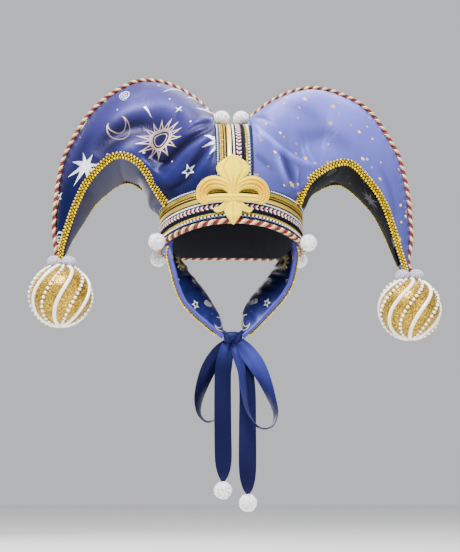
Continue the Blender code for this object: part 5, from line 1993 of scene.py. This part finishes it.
GOLD_GLITTER = Glitter("gold_glitter", "gold_glitter")
PEARL = Pearl("pearl", "gold_glitter", 0.32)
EMBROIDERY = Stitches("yellow_embroidery", "yellow_embroidery", 0.5)
LEFT_BAUBLE, RIGHT_BAUBLE = (-0.2108, 0.0, -0.2074), (0.2237, 0.0, -0.2212)
SNOW, DUSK = (1.0, 1.0, 1.0), (0.52, 0.50, 0.64)
WHITE_LOOK = ((0.0103, 0.0103, 0.0103), WHITE_POMPOM, SNOW)
DUSK_LOOK = ((0.0093, 0.0093, 0.0078), DUSK_POMPOM, DUSK)
TIP_SPREAD, TIP_RISE = 0.0098, 0.0417
PIPING, PEARL_WHITE = (0.95, 0.88, 0.76), (1.0, 0.95, 0.85)


@dataclass
class Bauble:
    """A gold glitter ball with white cords and strings of pearls that sweep round it in an S."""

    side_name: str
    centre: Sequence[float]
    radius: float = 0.0375
    swirls: int = 6
    sweep: float = 0.65
    first: float = 0.2
    top: float = 0.16
    bottom: float = 0.10
    piping: float = 0.0024
    pearl: float = 0.0020
    rough: float = 0.00022

    def swirl(self, start: float, sweep: float) -> Path:
        """A line over the ball from top to bottom.

        Args:
            start: The turn that it is at halfway down.
            sweep: How far it turns on its way.

        Returns:
            The line on the ball's surface.
        """
        fall = np.linspace(self.top, pi - self.bottom, 90)
        turn = start + sweep * (np.cos(fall) + 0.25 * np.cos(fall) ** 2)
        out = np.column_stack([np.sin(fall) * np.sin(turn), -np.sin(fall) * np.cos(turn), np.cos(fall)])
        return Path(np.array(self.centre) + out * self.radius, out)

    def build(self) -> None:
        """Builds and dresses the ball, its cords and its pearls."""
        node = f"bauble_{self.side_name}"
        bpy.ops.mesh.primitive_uv_sphere_add(segments=96, ring_count=64, radius=self.radius,
                                             location=self.centre)
        ball = bpy.context.object
        bpy.ops.object.transform_apply(location=True, rotation=False, scale=False)
        bpy.ops.object.mode_set(mode="EDIT")
        bpy.ops.mesh.select_all(action="SELECT")
        bpy.ops.transform.vertex_random(offset=self.rough, uniform=0.0, normal=1.0, seed=5)
        bpy.ops.object.mode_set(mode="OBJECT")
        ball.name = f"{node}_glitter"
        bpy.ops.object.shade_smooth()
        dress(ball, GOLD_GLITTER, node)
        trim, bead = Pile(), ball_form(8, 6)
        for k in range(self.swirls):
            start = (k + self.first) * tau / self.swirls
            cord = self.swirl(start, self.sweep).even(0.0014)
            tube(trim, cord.shifted(0.0, 0.0001), self.piping, 10, PIPING)
            string = self.swirl(start + pi / self.swirls, self.sweep).part(0.12, 0.93).even(self.pearl * 3.1)
            beads(trim, bead, string.shifted(0.0, self.pearl * 0.6), (self.pearl,) * 3, PEARL_WHITE)
        dress(trim.build(f"{node}_cords_and_pearls"), PEARL, node)


LEFT_FLAP_ROWS = tuple(FlapRow(*row) for row in (
    (0.0765, -0.0500, -0.1640, 0.0690, 0.0380, -0.1610, 0.0090),
    (0.0720, -0.0525, -0.1850, 0.0550, 0.0190, -0.1755, 0.0080),
    (0.0670, -0.0555, -0.2050, 0.0430, 0.0000, -0.1905, 0.0065),
    (0.0585, -0.0590, -0.2240, 0.0330, -0.0165, -0.2065, 0.0050),
    (0.0450, -0.0630, -0.2395, 0.0240, -0.0320, -0.2240, 0.0035),
    (0.0290, -0.0680, -0.2540, 0.0165, -0.0470, -0.2410, 0.0022),
    (0.0132, -0.0755, -0.2680, 0.0132, -0.0680, -0.2640, 0.0006),
))
RIGHT_FLAP_ROWS = tuple(FlapRow(*row) for row in (
    (0.0765, -0.0500, -0.1620, 0.0680, 0.0380, -0.1590, 0.0090),
    (0.0735, -0.0530, -0.1850, 0.0555, 0.0230, -0.1710, 0.0080),
    (0.0675, -0.0555, -0.2040, 0.0430, 0.0040, -0.1890, 0.0065),
    (0.0560, -0.0590, -0.2210, 0.0310, -0.0130, -0.2045, 0.0050),
    (0.0420, -0.0620, -0.2365, 0.0210, -0.0275, -0.2185, 0.0035),
    (0.0260, -0.0675, -0.2540, 0.0130, -0.0450, -0.2370, 0.0022),
    (0.0112, -0.0755, -0.2680, 0.0112, -0.0680, -0.2640, 0.0006),
))
LEFT_TAIL_ROWS = tuple(RibbonRow(*row) for row in (
    (-0.0062, -0.0722, -0.2745, 0.0140, 0),
    (-0.0098, -0.0730, -0.2870, 0.0172, 0),
    (-0.0124, -0.0732, -0.3050, 0.0190, 0),
    (-0.0128, -0.0735, -0.3300, 0.0195, 6),
    (-0.0126, -0.0740, -0.3750, 0.0197, 0),
    (-0.0121, -0.0735, -0.4090, 0.0192, -5),
    (-0.0120, -0.0732, -0.4250, 0.0130, -3),
    (-0.0125, -0.0730, -0.4344, 0.0030, 0),
))
RIGHT_TAIL_ROWS = tuple(RibbonRow(*row) for row in (
    (0.0040, -0.0722, -0.2745, 0.0120, 0),
    (0.0095, -0.0720, -0.2880, 0.0160, 0),
    (0.0135, -0.0722, -0.3050, 0.0178, 0),
    (0.0160, -0.0722, -0.3300, 0.0190, -6),
    (0.0160, -0.0730, -0.3750, 0.0199, 0),
    (0.0160, -0.0735, -0.4200, 0.0198, 5),
    (0.0162, -0.0732, -0.4390, 0.0135, 3),
    (0.0162, -0.0730, -0.4487, 0.0030, 0),
))
LEFT_LOOP_ROWS = tuple(RibbonRow(*row) for row in (
    (-0.0060, -0.0700, -0.2740, 0.0130, 0),
    (-0.0165, -0.0688, -0.2840, 0.0170, 5),
    (-0.0268, -0.0662, -0.2995, 0.0190, 20),
    (-0.0350, -0.0630, -0.3200, 0.0195, 42),
    (-0.0398, -0.0600, -0.3400, 0.0200, 62),
    (-0.0385, -0.0580, -0.3560, 0.0200, 78),
    (-0.0300, -0.0575, -0.3640, 0.0200, 84),
    (-0.0205, -0.0580, -0.3580, 0.0195, 78),
    (-0.0150, -0.0605, -0.3400, 0.0190, 60),
    (-0.0115, -0.0635, -0.3150, 0.0170, 35),
    (-0.0065, -0.0670, -0.2900, 0.0120, 12),
    (-0.0015, -0.0688, -0.2759, 0.0080, 0),
))
RIGHT_LOOP_ROWS = tuple(RibbonRow(*row) for row in (
    (0.0035, -0.0768, -0.2725, 0.0145, 0),
    (0.0140, -0.0792, -0.2835, 0.0185, -5),
    (0.0245, -0.0822, -0.2980, 0.0198, -18),
    (0.0340, -0.0850, -0.3170, 0.0195, -45),
    (0.0415, -0.0875, -0.3370, 0.0200, -66),
    (0.0465, -0.0890, -0.3560, 0.0200, -80),
    (0.0430, -0.0895, -0.3700, 0.0200, -88),
    (0.0335, -0.0895, -0.3735, 0.0200, -90),
    (0.0240, -0.0890, -0.3680, 0.0200, -88),
    (0.0165, -0.0880, -0.3530, 0.0200, -74),
    (0.0122, -0.0870, -0.3300, 0.0195, -64),
    (0.0092, -0.0850, -0.3080, 0.0180, -58),
    (0.0045, -0.0800, -0.2890, 0.0140, -32),
    (0.0010, -0.0752, -0.2750, 0.0100, 0),
))


@dataclass
class EarFlap:
    """One ear flap: lavender outside, navy print inside, and gold braid along both edges of its outside."""

    name: str
    side: int
    rows: Sequence[FlapRow]
    edge_angle: float = 62.0
    across: int = 28
    steps: int = 14
    jaw: float = -0.2
    inset: float = 0.0022
    braid_width: float = 0.0082
    pucker: float = 0.0006
    lip_width: float = 0.0027
    lip_thickness: float = 0.0008
    braid_lift: float = 0.0008

    def surface(self) -> tuple[Array, Array]:
        """The middle of the flap's thickness, and the way outwards from it.

        Returns:
            Points row by row from the front edge to the back, and directions.
        """
        share = np.arange(self.across + 1) / self.across
        turn = np.radians(self.edge_angle + (180 - 2 * self.edge_angle) * share)
        x, y = oval(turn, CORD_RADIUS - GAP - CLOTH - GAP / 2)
        radial = oval(turn, 0.0)
        lines = [np.column_stack([self.side * x, y, rim_z(turn) - LINING_HEM - GAP])]
        for row in self.rows:
            front = np.array([self.side * row.front_out, row.front_y, row.front_z])
            rear = np.array([self.side * row.rear_out, row.rear_y, row.rear_z])
            run = (-0.3, -0.5, -0.8) if row.front_z < self.jaw else (0.0, 0.0, -1.0)
            outward = unit(np.cross(rear - front, (self.side * run[0], run[1], run[2]))) * self.side
            bow = (row.belly * 4 * share * (1 - share))[:, None]
            lines.append(front + (rear - front) * share[:, None] + outward * bow)
        lines = smooth(lines, self.steps)
        out = unit(np.cross(np.gradient(lines, axis=0), np.gradient(lines, axis=1)) * self.side)
        first = unit(np.column_stack([self.side * radial[0], radial[1], np.zeros_like(turn)]))
        along = np.arange(len(lines))[:, None, None] / self.steps
        top, bottom = np.clip(along, 0.0, 1.0), np.clip(along[::-1], 0.0, 1.0)
        out = unit(out * top + first[None] * (1 - top))
        across = share[None, :, None]
        ripple = np.sin(along * 5.3 + across * 4) + 0.6 * np.sin(along * 11.0)
        calm = 4 * across * (1 - across) * top * bottom
        return lines + out * ripple * calm * self.pucker, out

    def lip(self, lines: Array, out: Array, breadth: Array, far: float) -> list[tuple[Array, int]]:
        """The outer layer's edge, turned over the front on to the lining.

        Args:
            lines: The middle of the flap's thickness.
            out: The way outwards.
            breadth: The flap's breadth at each line.
            far: The layer's outer distance from the middle.

        Returns:
            The edge's points and the column that each row of them belongs to.
        """
        edge, away, back = lines[:, 0], out[:, 0], out[:, 2]
        forward = unit(edge - lines[:, 1])
        front = edge + forward * self.lip_thickness
        hem = edge - forward * np.minimum(self.lip_width, breadth * 0.3)
        inside = -(GAP / 2 + CLOTH)
        turned = inside - self.lip_thickness
        return [(front + away * far * 0.4, 0),
                (front + away * turned * 0.6, 0),
                (edge + away * turned, 0),
                (hem + back * turned, 2),
                (hem + back * inside, 2),
                (edge + forward * 0.0001 + away * inside, 0)]

    def layer(self, name: str, lines: Array, out: Array, near: float, far: float,
              lip: bool) -> bpy.types.Object:
        """One layer of the flap's cloth.

        Args:
            name: The piece's name.
            lines: The middle of the flap's thickness.
            out: The way outwards.
            near: The layer's inner distance from the middle.
            far: Its outer distance.
            lip: Whether it is turned over the front edge on to the lining.

        Returns:
            The piece.
        """
        breadth = np.linalg.norm(lines[:, -1] - lines[:, 0], axis=1)[:, None]
        columns = range(self.across + 1)
        face = [(lines[:, k] + out[:, k] * far, k) for k in reversed(columns)]
        if lip:
            face += self.lip(lines, out, breadth, far)
        face += [(lines[:, k] + out[:, k] * near, k) for k in columns]
        rings = np.stack([points for points, _ in face], axis=1)
        share = np.array([k / self.across - 0.5 for _, k in face])[None, :] * breadth
        pile = Pile()
        pile.wrap(rings, place=paired(share, -run_along(lines[:, 0])[:, None]), turned=self.side < 0)
        return pile.build(name, 50)

    def braid(self, lines: Array, out: Array, end: str, column: int, inward: int) -> None:
        """The gold braid along one edge, narrower where the flap is.

        Args:
            lines: The middle of the flap's thickness.
            out: The way outwards.
            end: front or rear.
            column: The edge's column.
            inward: 1 or -1, which way the columns run from it.
        """
        breadth = np.linalg.norm(lines[:, -1] - lines[:, 0], axis=1)
        stretch = slice(self.steps // 2, len(lines) - self.steps // 2)
        direction = unit(np.gradient(lines, axis=1)[:, column]) * inward
        wide = np.minimum(self.braid_width, breadth * 0.44)
        inset = np.minimum(self.inset, breadth * 0.22)[:, None]
        middle = lines[:, column] + direction * inset + out[:, column] * (GAP / 2 + CLOTH + self.braid_lift)
        braid = gimp(Path(middle[stretch], out[stretch, column]), wide[stretch], GOLD)
        dress(braid.build(f"flap_{self.name}_braid_{end}_gimp"), GOLD_BRAID, f"flap_{self.name}_braid_{end}")

    def build(self) -> None:
        """Builds and dresses the flap."""
        lines, out = self.surface()
        thick = GAP / 2 + CLOTH
        for part, finish, near, far, lip in (("outer", FLAP_SATIN, GAP / 2, thick, True),
                                             ("lining", NAVY_PRINT, -thick, -GAP / 2, False)):
            node = f"flap_{self.name}_{part}"
            cloth = dress(self.layer(f"{node}_cloth", lines, out, near, far, lip), finish, node)
        self.braid(lines, out, "front", 0, 1)
        self.braid(lines, out, "rear", self.across, -1)


@dataclass
class Ribbon:
    """A satin ribbon along its rows, with a firmer woven edge, and painted light and shade along it."""

    name: str
    rows: Sequence[RibbonRow]
    flat_length: float
    thickness: float = 0.0006
    steps: int = 14
    across: int = 14
    cup: float = 0.0010
    pleat: float = 0.0009
    pleat_rows: float = 1.1
    knot_z: float = -0.28
    # Painted light and shade along the ribbon, as factors on its colour from one end to the other.
    painted_light_along: Sequence[float] = (1.0, 1.0)

    def build(self) -> None:
        """Builds and dresses the ribbon."""
        rows = smooth(self.rows, self.steps)
        points, width, turn = rows[:, :3], rows[:, 3:4], np.radians(rows[:, 4:5])
        run = unit(np.gradient(points, axis=0))
        run[0], run[-1] = (0.0, 0.0, -1.0), (0.0, 0.0, np.sign(run[-1][2]))
        flat = unit(np.cross(run, FORWARD))
        face = np.cross(flat, run)
        wide = (flat * np.cos(turn) + face * np.sin(turn))[:, None]
        out = (face * np.cos(turn) - flat * np.sin(turn))[:, None]
        share = np.linspace(-1.0, 1.0, self.across + 1)
        near_knot = np.exp(-np.arange(len(rows)) / self.steps / self.pleat_rows)[:, None]
        if points[-1, 2] > self.knot_z:
            near_knot = near_knot + near_knot[::-1]
        bow = -self.cup * share**2 + np.cos(share * pi * 2.0) * near_knot * self.pleat
        middle = points[:, None] + wide * (width / 2 * share)[..., None] + out * bow[..., None]
        half = np.where(np.abs(share) > 0.97, self.thickness * 0.75, self.thickness * 0.5)[:, None] * out
        rings = np.concatenate([middle + half, (middle - half)[:, ::-1]], axis=1)
        across = np.concatenate([share, share[::-1]]) * width / 2
        # The painted light and shade, carried in the colour attribute.
        painted_light = np.repeat(spread(self.painted_light_along, len(rings)), rings.shape[1])[:, None]
        pile = Pile()
        pile.wrap(rings, painted_light, paired(across, run_along(points)[:, None]), turned=True)
        piece = dress(pile.build(f"ribbon_{self.name}_satin", 70), NAVY_RIBBON, f"ribbon_{self.name}")


@dataclass
class Knot:
    """The knot under the chin: a band of ribbon folded over itself, and the two ties that come into it."""

    centre: Sequence[float] = (-0.001, -0.0725, -0.268)
    size: Sequence[float] = (0.0235, 0.0165, 0.0145)
    fold: float = 0.16
    creases: Sequence[Sequence[float]] = (
        (0.02, 0.42, 0.13, 1.0),
        (-0.06, -0.55, 0.10, 0.7),
        (0.62, 0.3, 0.12, 0.4),
    )
    ties: Sequence[Sequence[float]] = ((-0.0150, -0.0665, -0.2585), (0.0128, -0.0665, -0.2580))

    def band(self, pile: Pile) -> None:
        """Adds the folded band: a soft box, creased up to the right, to the left and near its right end, with
        painted shade in the creases and painted light between them.

        Args:
            pile: What it is added to.
        """
        points, faces = ball_form(96, 64)
        boxed = np.sign(points) * np.abs(points) ** 0.80
        x, z = points[:, :1], points[:, 2:]
        crease = sum(np.exp(-(((x - middle - lean * (z + 0.6)) / wide) ** 2)) * depth
                     for middle, lean, wide, depth in self.creases)
        waist = 1 - 0.10 * (1 - np.abs(z)) * np.abs(x)
        shaped = boxed * (1.0 - self.fold * crease * (0.5 + 0.5 * np.clip(-z + 0.4, 0, 1))) * waist
        shaped = self.centre + shaped * np.array(self.size) / 2 * 1.04
        # Its colour is painted shade in the creases and painted light elsewhere, as a factor on the ribbon's
        # colour.
        pile.add(shaped, faces, 1.25 - 0.7 * np.clip(crease, 0, 1), points[:, [0, 2]] * 0.01)

    def build(self) -> None:
        """Builds and dresses the knot."""
        pile = Pile()
        self.band(pile)
        for tie in self.ties:
            middle, end = (tie[0] * 0.62, -0.0700, -0.2630), (tie[0] * 0.2, self.centre[1], -0.2670)
            line = smooth([tie, middle, end], 6)
            thick = np.linspace(0.0024, 0.0042, len(line))
            tube(pile, Path(line, FORWARD), thick, 12, (0.9, 0.9, 0.9), squash=0.55)
        dress(pile.build("ribbon_knot_satin", 70), NAVY_RIBBON, "ribbon_knot")


TOP_PETAL = tuple(PetalRow(*row) for row in (
    (0.0, -0.0527, 0.0006),
    (0.0, -0.0570, 0.0072),
    (0.0, -0.0620, 0.0142),
    (0.0, -0.0690, 0.0193),
    (0.0, -0.0760, 0.0176),
    (0.0, -0.0830, 0.0117),
    (0.0, -0.0890, 0.0072),
    (0.0, -0.1040, 0.0032),
))
BOTTOM_PETAL = tuple(PetalRow(*row) for row in (
    (0.0, -0.1080, 0.0030),
    (0.0, -0.1130, 0.0047),
    (0.0, -0.1180, 0.0084),
    (0.0, -0.1230, 0.0097),
    (0.0, -0.1300, 0.0072),
    (0.0, -0.1390, 0.0006),
))
SIDE_PETAL = tuple(PetalRow(*row) for row in (
    (0.0020, -0.1010, 0.0024),
    (0.0085, -0.0925, 0.0050),
    (0.0170, -0.0885, 0.0070),
    (0.0265, -0.0880, 0.0078),
    (0.0338, -0.0925, 0.0074),
    (0.0370, -0.1000, 0.0062),
    (0.0350, -0.1072, 0.0050),
    (0.0290, -0.1100, 0.0034),
))
LOWER_CURL = tuple(PetalRow(*row) for row in (
    (0.0060, -0.1090, 0.0030),
    (0.0085, -0.1145, 0.0032),
    (0.0130, -0.1190, 0.0033),
    (0.0185, -0.1212, 0.0026),
    (0.0222, -0.1195, 0.0012),
))
CROSSBAR = tuple(PetalRow(*row) for row in (
    (-0.0295, -0.1070, 0.0042),
    (0.0, -0.1070, 0.0045),
    (0.0295, -0.1070, 0.0042),
))




class Petal(NamedTuple):
    """A petal: its spine, how far it lies above the others, how orange it is along it, and its sunk veins."""

    rows: Sequence[PetalRow]
    lift: float
    shade: Sequence[float]
    veins: Sequence[float] = (0.0,)
    paired: bool = False

    def mirrored(self) -> Petal:
        """The same petal on the other side."""
        return self._replace(rows=[PetalRow(-row.x, row.z, row.half_width) for row in self.rows])


PETALS = (
    Petal(LOWER_CURL, 0.0001, (0.3, 0.15, 0.1), paired=True),
    Petal(SIDE_PETAL, 0.0003, (0.1, 0.15, 0.35, 0.75, 0.7, 0.3, 0.2), (-0.35, 0.30), paired=True),
    Petal(TOP_PETAL, 0.0006, (0.25, 0.1, 0.05, 0.1, 0.2), (0.0, -0.55, 0.55)),
    Petal(BOTTOM_PETAL, 0.0005, (0.2, 0.1, 0.05, 0.25)),
    Petal(CROSSBAR, 0.0012, (0.15, 0.0, 0.15)),
)
CORD_STRANDS = ((0.90, 0.72, 0.002), (0.66, 0.42, 0.001))


@dataclass
class FleurDeLis:
    """The embroidered fleur-de-lis: padded petals of satin stitch with a couched cord round each."""

    centre_x: float = -0.002
    standoff: float = CENTRE_BAND_GROW + GAP
    edge: float = 0.0014
    ridge: float = 0.0026
    vein: float = 0.0017
    steps: int = 10
    across: int = 24
    cord: float = 0.00075
    climb_top: float = -0.122
    climb_height: float = 0.008
    climb: float = CORD_RADIUS - 0.001

    def depth(self, x: Array, z: Array) -> Array:
        """How far forward the surface under the ornament lies.

        Args:
            x: Places across the hat.
            z: Their heights.

        Returns:
            Distances in front of the hat's middle; the foot climbs over the rim cord.
        """
        climb = np.clip((self.climb_top - z) / self.climb_height, 0.0, 1.0)
        grow = self.standoff + self.climb * climb**2 * (3 - 2 * climb)
        bow = np.sqrt(1 - (x / (HEAD_HALF_WIDTH + grow)) ** 2)
        rise = np.maximum(0.0, z - BAND_TOP_FRONT) / (CENTRE_BAND_TOP - BAND_TOP_FRONT)
        return (HEAD_HALF_DEPTH + grow) * bow * np.sqrt(1 - rise**2)

    def laid(self, x: Array, z: Array, height: Array) -> Array:
        """Points at a height over the band, seen from the front."""
        x = x + self.centre_x
        return np.stack([x, -self.depth(x, z) - height, z], axis=-1)

    def lay(self, pile: Pile, cords: Pile, petal: Petal) -> None:
        """Adds one petal.

        Args:
            pile: What its stitches are added to.
            cords: What its outline cord is added to.
            petal: The petal.
        """
        lift, rows = petal.lift, smooth(petal.rows, self.steps)
        rows[:, 2] = np.maximum(rows[:, 2], 0.0004)
        run = unit(np.gradient(rows[:, :2], axis=0))
        share = np.linspace(-1.0, 1.0, self.across)
        wide = rows[:, 2:3] * share
        x, z = rows[:, :1] + run[:, 1:] * wide, rows[:, 1:2] - run[:, :1] * wide
        full = np.minimum(1.0, rows[:, 2:3] / 0.006)
        height = self.edge + self.ridge * full * np.sqrt(np.maximum(1 - share**2, 0.0))
        sunk = np.zeros_like(height)
        for vein in petal.veins:
            sunk = np.maximum(sunk, full * np.exp(-(((share - vein) * rows[:, 2:3] / 0.0007) ** 2)))
        height -= self.vein * sunk
        top = self.laid(x, z, height + lift)
        under = self.laid(x, z, np.full_like(x, lift * 0.5))
        rings = np.concatenate([top, under[:, ::-1]], axis=1)
        sunk = np.concatenate([sunk, sunk[:, ::-1]], axis=1)
        orange = np.clip(spread(petal.shade, len(rows))[:, None] + sunk * 0.6, 0.0, 1.0)
        across = np.concatenate([wide, wide[:, ::-1]], axis=1)
        pile.wrap(rings, orange.reshape(-1, 1), paired(across, run_along(rows[:, :2])[:, None]))
        x, z = (np.concatenate([side[:, 0], side[::-1, -1]]) for side in (x, z))
        edge = Path(self.laid(x, z, np.full(len(x), self.edge + lift)), FORWARD, True)
        twist(cords, edge, self.cord, 0.0022, CORD_STRANDS, 5, 0.0007)

    def build(self) -> None:
        """Builds and dresses the ornament."""
        stitches, cords = Pile(), Pile()
        for petal in PETALS:
            for side in (petal, petal.mirrored()) if petal.paired else (petal,):
                self.lay(stitches, cords, side)
        dress(stitches.build("fleur_de_lis_stitches", 50), EMBROIDERY, "fleur_de_lis")
        dress(cords.build("fleur_de_lis_cord"), Yarn("yellow_cord", "yellow_embroidery", 0.5), "fleur_de_lis")


def pompoms() -> list[Pompom]:
    """Places the pompoms on the crown, at the rim's corners, under the ribbon's tails and at the horns' tips.

    Returns:
        The pompoms, not yet built.
    """
    made = []
    for name, side, ball, tail in (("left", -1, LEFT_BAUBLE, LEFT_TAIL_ROWS[-1]),
                                   ("right", 1, RIGHT_BAUBLE, RIGHT_TAIL_ROWS[-1])):
        made.append((f"top_pompom_{name}", (side * 0.0124, -0.0140, 0.0190), WHITE_LOOK))
        made.append((f"ribbon_pompom_{name}", (tail.x, tail.y, tail.z - 0.0091), WHITE_LOOK))
        for end, degrees in (("front", 62.5), ("rear", 117.5)):
            turn = radians(degrees)
            x, y = oval(turn, HEADBAND_GROW)
            away = unit(np.array([x, y * 0.35, -0.018])) * (CORD_RADIUS + 0.010 - GAP)
            place = np.array([x, y, rim_z(turn)]) + away
            made.append((f"corner_pompom_{name}_{end}", place * (side, 1, 1), WHITE_LOOK))
        for i in range(3):
            turn = radians(120 * i + 90)
            place = (ball[0] + TIP_SPREAD * cos(turn), TIP_SPREAD * sin(turn), ball[2] + TIP_RISE)
            made.append((f"tip_pompom_{name}_{i + 1}", place, DUSK_LOOK))
    return [Pompom(f"{node}_yarn", node, place, *look, seed) for seed, (node, place, look) in enumerate(made)]


def main() -> None:
    """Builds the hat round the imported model."""
    logging.basicConfig(level=logging.INFO, format="%(message)s")
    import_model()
    bpy.ops.object.select_all(action="DESELECT")
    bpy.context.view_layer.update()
    Studio().build()
    # The left horn's folds are painted more strongly: deeper painted shade in its hollows, brighter painted
    # light on its ridges.
    Horn("left", -1, LEFT_HEAD_ROWS, LEFT_HORN_ROWS, LEFT_NECK, LEFT_FOLDS,
         PRINTED_SATIN, GREY_SATIN, painted_light=300.0).build()
    Horn("right", 1, RIGHT_HEAD_ROWS, RIGHT_HORN_ROWS, RIGHT_NECK, RIGHT_FOLDS,
         LAVENDER_SATIN, SHADED_NAVY_PRINT).build()
    Lining().build()
    RimCord().build()
    TrimmedBand("headband", headband_track, 0.0415, 0.0042).build()
    TrimmedBand("centre_band", centre_band_track, CENTRE_BAND_HALF_WIDTH * 2, CENTRE_BAND_THICKNESS).build()
    FleurDeLis().build()
    Bauble("left", LEFT_BAUBLE, sweep=0.55, first=0.14).build()
    Bauble("right", RIGHT_BAUBLE, sweep=0.78, first=0.32).build()
    EarFlap("left", -1, LEFT_FLAP_ROWS).build()
    EarFlap("right", 1, RIGHT_FLAP_ROWS).build()
    Knot().build()
    # The numbers after each ribbon are its painted highlights and painted shade along it.
    Ribbon("tail_left", LEFT_TAIL_ROWS, 0.160, painted_light_along=(3.2, 1.6, 0.7, 0.9, 0.7, 0.8, 0.9, 1.6)).build()
    Ribbon("tail_right", RIGHT_TAIL_ROWS, 0.175, painted_light_along=(0.8, 0.6, 0.6, 0.8, 1.2, 0.8, 0.9, 1.8)).build()
    Ribbon("loop_left", LEFT_LOOP_ROWS, 0.195, painted_light_along=(0.7, 0.8, 1.0, 0.7, 0.6)).build()
    Ribbon("loop_right", RIGHT_LOOP_ROWS, 0.215, painted_light_along=(1.2, 4.5, 3.0, 1.6, 1.0, 1.6, 2.8, 2.6, 1.4)).build()
    for pompom in pompoms():
        pompom.build()


if __name__ == "__main__":
    main()
